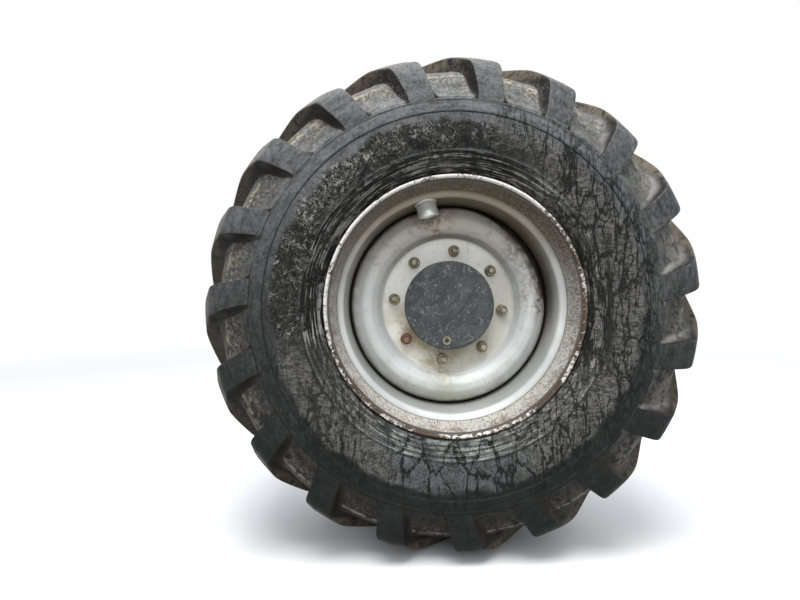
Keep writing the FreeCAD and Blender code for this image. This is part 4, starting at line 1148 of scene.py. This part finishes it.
def makeTyre():
    form = tyreForm
    pitch = 360 / form["lugs"]
    # rows of the lugged part, from the centre plane to the foot of the shoulder
    near = form["nearRows"]
    places = (len(form["tread"]) - 1) * np.linspace(0, 1, form["treadRows"])
    tread = alongTable(form["tread"], np.unique(np.concatenate([near, places[places > 0.27]])))
    places = np.linspace(0, len(form["shoulder"]) - 1, form["shoulderRows"] + 1)[1:]
    lugged = np.concatenate([tread, alongTable(form["shoulder"], places)])
    share = np.clip((form["endY"] - lugged[:, 0]) / (form["endY"] + form["overlap"]), 0, 1)
    halfWidth = form["endHalf"] + share * (form["centreHalf"] - form["endHalf"])
    overRun = 1 - softStep(lugged[:, 0], form["overlap"] + 0.001, 0.0035)
    reach = flank[0][0]

    def luggedRow(side, index):
        casingY, casingR, lugY, lugR = lugged[index]
        width = halfWidth[index]
        both = overRun[index] > 0 or index < len(near)
        gap = pitch / (2 if both else 1) - 2 * reach * width
        offsets, masks = [], []
        for part in ((0, 1) if both else (0,)):
            for factor, height in lugColumns:
                offsets.append(part * pitch / 2 + factor * width)
                own = not both or (part == 0) == (side < 0)
                masks.append(height if own else height * overRun[index])
            for place in ((0.25, 0.5, 0.75) if both else (0.12, 0.3, 0.5, 0.7, 0.88)):
                offsets.append(part * pitch / 2 + reach * width + place * gap)
                masks.append(0.0)
        first = form["firstLug"] - share[index] * form["sweep"]
        if side > 0 and not both:
            first += pitch / 2
        angles = (np.array(offsets)[None, :] + first + pitch * np.arange(form["lugs"])[:, None]).ravel()
        masks = np.tile(masks, form["lugs"])
        y = side * (casingY + masks * (lugY - casingY))
        radius = casingR + masks * (lugR - casingR)
        return angles, y, radius, masks

    def wallRow(side, y, radius):
        count = form["wallColumns"]
        angles = form["firstLug"] + np.arange(count) * 360 / count
        return angles, np.full(count, side * y), np.full(count, radius), np.zeros(count)

    wallY, wallR = wallRows()
    rows = []
    for side in (-1, 1):
        half = [wallRow(side, y, radius) for y, radius in form["liner"]][::-1]
        half += [wallRow(side, y, radius) for y, radius in zip(wallY, wallR)][::-1]
        half += [luggedRow(side, index) for index in range(len(lugged) - 1, -1, -1)]
        if side > 0:
            half = half[::-1][1:]
        rows += half
    starts, total = [], 0
    for row in rows:
        starts.append(total)
        total += len(row[0])
    faces = []
    for index, row in enumerate(rows):
        after = (index + 1) % len(rows)
        a, b = starts[index], starts[after]
        anglesA, anglesB = row[0], rows[after][0]
        countA, countB = len(anglesA), len(anglesB)
        if countA == countB and abs(anglesA[0] - anglesB[0]) < 6:
            faces += [(a + i, a + (i + 1) % countA, b + (i + 1) % countA, b + i) for i in range(countA)]
            continue
        shift = int(np.argmin(np.abs((anglesB - anglesA[0] + 180) % 360 - 180)))
        other = np.roll(anglesB, -shift)
        other = anglesA[0] + ((other - anglesA[0] + 180) % 360 - 180)[0] + (other - other[0]) % 360
        for face in bridge(anglesA, other, 0, countA):
            faces.append(tuple(a + v if v < countA else b + (v - countA + shift) % countB for v in face))
    angles, y, radius, masks = (np.concatenate([row[part] for row in rows]) for part in range(4))
    angles = np.radians(angles)
    points = np.stack([radius * np.sin(angles), y + wheelY, radius * np.cos(angles)], axis=1)
    piece = makeObject("tyreRubber", points, faces)
    mark = piece.data.attributes.new("lugHeight", "FLOAT", "POINT")
    mark.data.foreach_set("value", masks.astype(np.float32))
    return piece


# Rim, disc and the pieces bolted to them

wheelForm = {
    # (out from the centre plane, radius, bend at that corner)
    "rim": [
        (0.0480, 0.2510, 0.012), (0.1300, 0.2610, 0.016), (0.1495, 0.2750, 0.002), (0.2075, 0.2872, 0.0012),
        (0.2085, 0.2915, 0.0012), (0.2135, 0.2920, 0.0012), (0.2180, 0.2950, 0.0024), (0.2180, 0.3010,
                                                                                       0.0034),
        (0.2075, 0.3010, 0.0040), (0.2060, 0.2945, 0.001), (0.151, 0.2815, 0.003), (0.1270, 0.2670, 0.010),
        (0.048, 0.2570, 0.010),
    ],
    "disc": [
        (0.0470, 0.1105, 0.0015), (0.0470, 0.1640, 0.009), (0.0720, 0.1800, 0.016), (0.0850, 0.1960, 0.020),
        (0.0850, 0.2160, 0.020), (0.0690, 0.2385, 0.022), (0.0500, 0.2482, 0.010), (0.0330, 0.2500, 0.002),
        (0.0240, 0.2500, 0.002), (0.0300, 0.2385, 0.006), (0.0560, 0.2300, 0.012), (0.0730, 0.2130, 0.012),
        (0.0730, 0.2000, 0.010), (0.0600, 0.1880, 0.012), (0.0350, 0.1720, 0.010), (0.0350, 0.1105, 0.0015),
    ],
    "hub": [
        (-0.1050, 0.06005, 0), (-0.1050, 0.1040, 0.004), (-0.0780, 0.1040, 0.002), (-0.0720, 0.1160, 0.004),
        (0.0150, 0.1160, 0.003), (0.0150, 0.1630, 0.0025), (0.0350, 0.1630, 0.0015), (0.0350, 0.1100, 0.001),
        (0.0800, 0.1100, 0.0015), (0.0800, 0.0, 0), (0.0500, 0.0, 0), (0.0500, 0.06005, 0),
    ],
    "cover": [(0.0790, 0.0, 0), (0.0790, 0.1100, 0.0006), (0.0890, 0.1100, 0.0022), (0.0890, 0.1012, 0.0008),
              (0.0884, 0.1000, 0.0008), (0.0884, 0.0, 0)],
    "hubSeal": [(-0.1050, 0.0642, 0.0008), (-0.1050, 0.1018, 0.0008), (-0.1080, 0.1018, 0.002),
                (-0.1118, 0.0978, 0.0015), (-0.1118, 0.0860, 0.0012), (-0.1092, 0.0830, 0.0012),
                (-0.1092, 0.0720, 0.0012), (-0.1118, 0.0690, 0.0012), (-0.1118, 0.0642, 0.0008)],
    "spindle": [(0.0420, 0.02255, 0.001), (0.0420, 0.0600, 0.003), (-0.1180, 0.0600, 0.003),
                (-0.1180, 0.1080, 0.0020), (-0.1400, 0.1080, 0.0012), (-0.1400, 0.0365, 0.001),
                (0.0120, 0.0365, 0.001), (0.0120, 0.02255, 0.001)],
}

# Bolted pieces: one of each is made, then set round the axle by the ring tree

def turnedBolt(name, corners, around, flats, side):
    # about its own axis along Y, its base at the origin; a radius above 1 is a socket's hexagon
    closed = corners[0][1] > 0
    socket = any(corner[1] > 1 for corner in corners)

    def reachAt(radius, angle):
        if not flats:
            return radius
        flat = flats / 2 / math.cos(angle % (math.pi / 3) - math.pi / 6)
        return flat if radius > 1 else radius if socket else min(radius, flat)

    outline = rounded(corners, closed, steps=3, hold=0.0004)
    piece = lathe(name, outline, closed, around, lambda out: side * out, reachAt)
    # rows that the flats cut to one place become one
    work = bmesh.new()
    work.from_mesh(piece.data)
    bmesh.ops.remove_doubles(work, verts=work.verts, dist=0.000002)
    work.to_mesh(piece.data)
    work.free()
    return piece


def threadRows(start, end, radius, pitch=0.0015, depth=0.0007):
    # outline rows of a thread's roots and crests
    return [row for index in range(int((end - start) / pitch)) for row in (
        (start + index * pitch, radius - depth, 0), (start + (index + 0.5) * pitch, radius, 0))]


fasteners = {
    # name: corners as out from its base, radius and bend; then steps around, across flats, side,
    # circle, count, first one's turn in degrees, base's place out
    "nutCollars": ([(0.0, 0.0080, 0), (0.0, 0.0146, 0.0005), (0.0026, 0.0146, 0.0006),
                    (0.0044, 0.0128, 0.0004), (0.0044, 0.0080, 0)],
                   36, None, -1, 0.1375, 8, 6, 0.0470),
    "wheelNuts": ([(0.0040, 0.0082, 0), (0.0040, 0.0135, 0), (0.0164, 0.0135, 0.0002),
                   (0.0180, 0.0113, 0.0003), (0.0180, 0.0090, 0.0003), (0.0168, 0.0082, 0)],
                  36, 0.0228, -1, 0.1375, 8, 6, 0.0470),
    "wheelStuds": ([(0.0, 0.0, 0), (0.0, 0.0135, 0.001), (0.0090, 0.0148, 0.001), (0.0090, 0.0100, 0),
                    (0.0400, 0.0100, 0), (0.0400, 0.0080, 0), (0.0570, 0.0079, 0)]
                   + threadRows(0.0580, 0.0662, 0.0080)
                   + [(0.0665, 0.0073, 0), (0.0678, 0.0062, 0.0003), (0.0678, 0.0, 0)],
                   36, None, -1, 0.1375, 8, 6, 0.0060),
    "endBolts": ([(-0.0440, 0.0, 0), (-0.0440, 0.0068, 0.0005), (0.0, 0.0068, 0), (0.0, 0.0128, 0.0003),
                  (0.0020, 0.0128, 0.0003), (0.0020, 0.0123, 0), (0.0078, 0.0123, 0.0002),
                  (0.0090, 0.0102, 0.0003), (0.0090, 0.0, 0)],
                 36, 0.021, 1, 0.091, 10, 0, -0.1620),
    "levelPlug": ([(-0.0120, 0.0, 0), (-0.0120, 0.0086, 0.0008), (0.0, 0.0086, 0), (0.0, 0.0110, 0),
                   (0.0118, 0.0110, 0.0005), (0.0125, 0.0104, 0), (0.0125, 0.0066, 0.0003),
                   (0.0118, 9.0, 0), (0.0045, 9.0, 0), (0.0045, 0.0, 0)],
                  48, 0.0110, -1, 0.088, 1, 185, 0.080),
}


def makeFastener(name):
    corners, around, flats, side, circle, count, first, base = fasteners[name]
    single = turnedBolt(name + "Single", corners, around, flats, side)
    piece = ringOf(name, single, count=count, circle=circle, first=math.radians(first), along=wheelY - base,
                   finish=platedSteel)
    piece.data.set_sharp_from_angle(angle=math.radians(35))
    return piece


# Valve guard: a short tube that stands on the barrel towards the axle

guardForm = {
    "turn": math.radians(-14),
    "out": 0.106,
    "outer": 0.0250,
    "inner": 0.0205,
    "tip": 0.2225,
    "around": 72,
    "sunk": 0.0012,      # how far its foot goes into the barrel
    "weldOut": 0.0255,   # its weld bead's radius and height over the barrel
    "weldUp": 0.0004,
}


def circle(count, radius=1.0):
    angles = [2 * math.pi * step / count for step in range(count)]
    return [(radius * math.sin(angle), radius * math.cos(angle)) for angle in angles]


def barrelAt(x, y):
    # height of the rim's barrel at a place about the guard's axis
    corners = [(0.0, wheelForm["rim"][0][1])] + [corner[:2] for corner in wheelForm["rim"][:4]]
    return math.sqrt(float(np.interp(guardForm["out"] + y, *zip(*corners))) ** 2 - x * x)


def fromGuard(points):
    # from the guard's own place (across, towards the outside, away from the axle) to the wheel's
    s, c = math.sin(guardForm["turn"]), math.cos(guardForm["turn"])
    return [(x * c + z * s, wheelY - guardForm["out"] - y, -x * s + z * c) for x, y, z in points]


def makeGuard():
    outer, inner, around = guardForm["outer"], guardForm["inner"], guardForm["around"]
    # height over the tip, or none at the foot, and radius
    rings = [(None, outer), (0.0040, outer), (0.0012, outer), (0.0003, outer - 0.0004), (0.0, outer - 0.0013),
             (0.0, inner + 0.0010), (0.0004, inner + 0.0003), (0.0014, inner), (0.0060, inner), (None, inner)]
    points = [(x, y, barrelAt(x, y) + guardForm["sunk"] if height is None else guardForm["tip"] + height)
              for height, radius in rings for x, y in circle(around, radius)]
    faces = []
    for ring in range(len(rings)):
        a, b = ring * around, (ring + 1) % len(rings) * around
        faces += [(a + s, a + (s + 1) % around, b + (s + 1) % around, b + s) for s in range(around)]
    return makeObject("valveGuardTube", fromGuard(points), faces)


guardFoot = fromGuard([(x, y, barrelAt(x, y) - guardForm["weldUp"])
                       for x, y in circle(guardForm["around"], guardForm["weldOut"])])
discEdge = [(x, wheelY - 0.0330, z) for x, z in circle(180, 0.2503)]


# Castings and forgings of the axle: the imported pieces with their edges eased

easing = {
    "merge": 0.00002,                # m between points that become one
    "flat": 0.01,                    # radians between faces that become one
    "edge": math.radians(38),        # edges sharper than this are eased
    "sharp": math.radians(30),       # edges that stay sharp in the shading
}


def eased(name, title, width, steps):
    mesh = nodes[name].data.copy()
    mesh.transform(nodes[name].matrix_world)
    work = bmesh.new()
    work.from_mesh(mesh)
    bmesh.ops.remove_doubles(work, verts=work.verts, dist=easing["merge"])
    bmesh.ops.dissolve_limit(work, angle_limit=easing["flat"], verts=work.verts, edges=work.edges)
    sharp = [edge for edge in work.edges if edge.is_manifold and edge.calc_face_angle() > easing["edge"]]
    bmesh.ops.bevel(work, geom=sharp, offset=width, segments=steps, profile=0.5, affect="EDGES",
                    clamp_overlap=True)
    bmesh.ops.triangulate(work, faces=work.faces)
    work.to_mesh(mesh)
    work.free()
    mesh.shade_smooth()
    mesh.set_sharp_from_angle(angle=easing["sharp"])
    return newObject(title, mesh)


# Everything gets its body and its finish, and the nodes it stands for are hidden

for piece in (
        (makeTyre(), "wheel", "tyre", tyreRubber, "tyre"),
        (turned("rimSteel", wheelForm["rim"] + [(-out, r, b) for out, r, b in reversed(wheelForm["rim"])]),
         "wheel", "wheel_paint", rimPaint, "rim"),
        (turned("discSteel", wheelForm["disc"]), "wheel", "wheel_paint", discPaint, "wheel_disc"),
        (turned("hubCasting", wheelForm["hub"], around=192), "wheel", "axle_paint", axlePaint, "hub"),
        (turned("coverPlate", wheelForm["cover"], False, 192), "wheel", "cover_paint", coverPaint,
         "hub_cover"),
        (turned("hubSealRing", wheelForm["hubSeal"], around=160), "axle", "rubber", sealRubber, "hub_seal"),
        (turned("spindleForging", wheelForm["spindle"], around=144), "axle", "bare_steel", bareSteel,
         "spindle"),
        (makeFastener("nutCollars"), "wheel", "plated_steel", platedSteel),
        (makeFastener("wheelNuts"), "wheel", "plated_steel", platedSteel, "wheel_nuts"),
        (makeFastener("wheelStuds"), "wheel", "plated_steel", platedSteel, "wheel_studs"),
        (makeFastener("endBolts"), "axle", "plated_steel", platedSteel, "end_bolts"),
        (makeGuard(), "wheel", "wheel_paint", guardPaint, "valve_guard"),
        (weldAlong("discWeld", discEdge, width=0.0030, ripple=0.0050), "wheel", "wheel_paint", discPaint),
        (weldAlong("guardWeld", guardFoot, width=0.0022, ripple=0.0040), "wheel", "wheel_paint", guardPaint),
        (makeFastener("levelPlug"), "wheel", "plated_steel", platedSteel, "hub_plug"),
        (eased("axle_arm", "armCasting", 0.0022, 2), "axle", "axle_paint", armPaint, "axle_arm"),
        (eased("half_shaft", "splinedShaft", 0.0006, 1), "shaft", "bare_steel", bareSteel, "half_shaft"),
        (eased("breather", "breatherCap", 0.0006, 2), "axle", "brass", brass, "breather"),
        (eased("drain_plug", "drainBolt", 0.0006, 2), "axle", "plated_steel", platedSteel, "drain_plug")):
    dress(*piece)
coat(nodes["arm_seal"], sealRubber)
coat(nodes["valve"], brass)
print("pieces dressed")
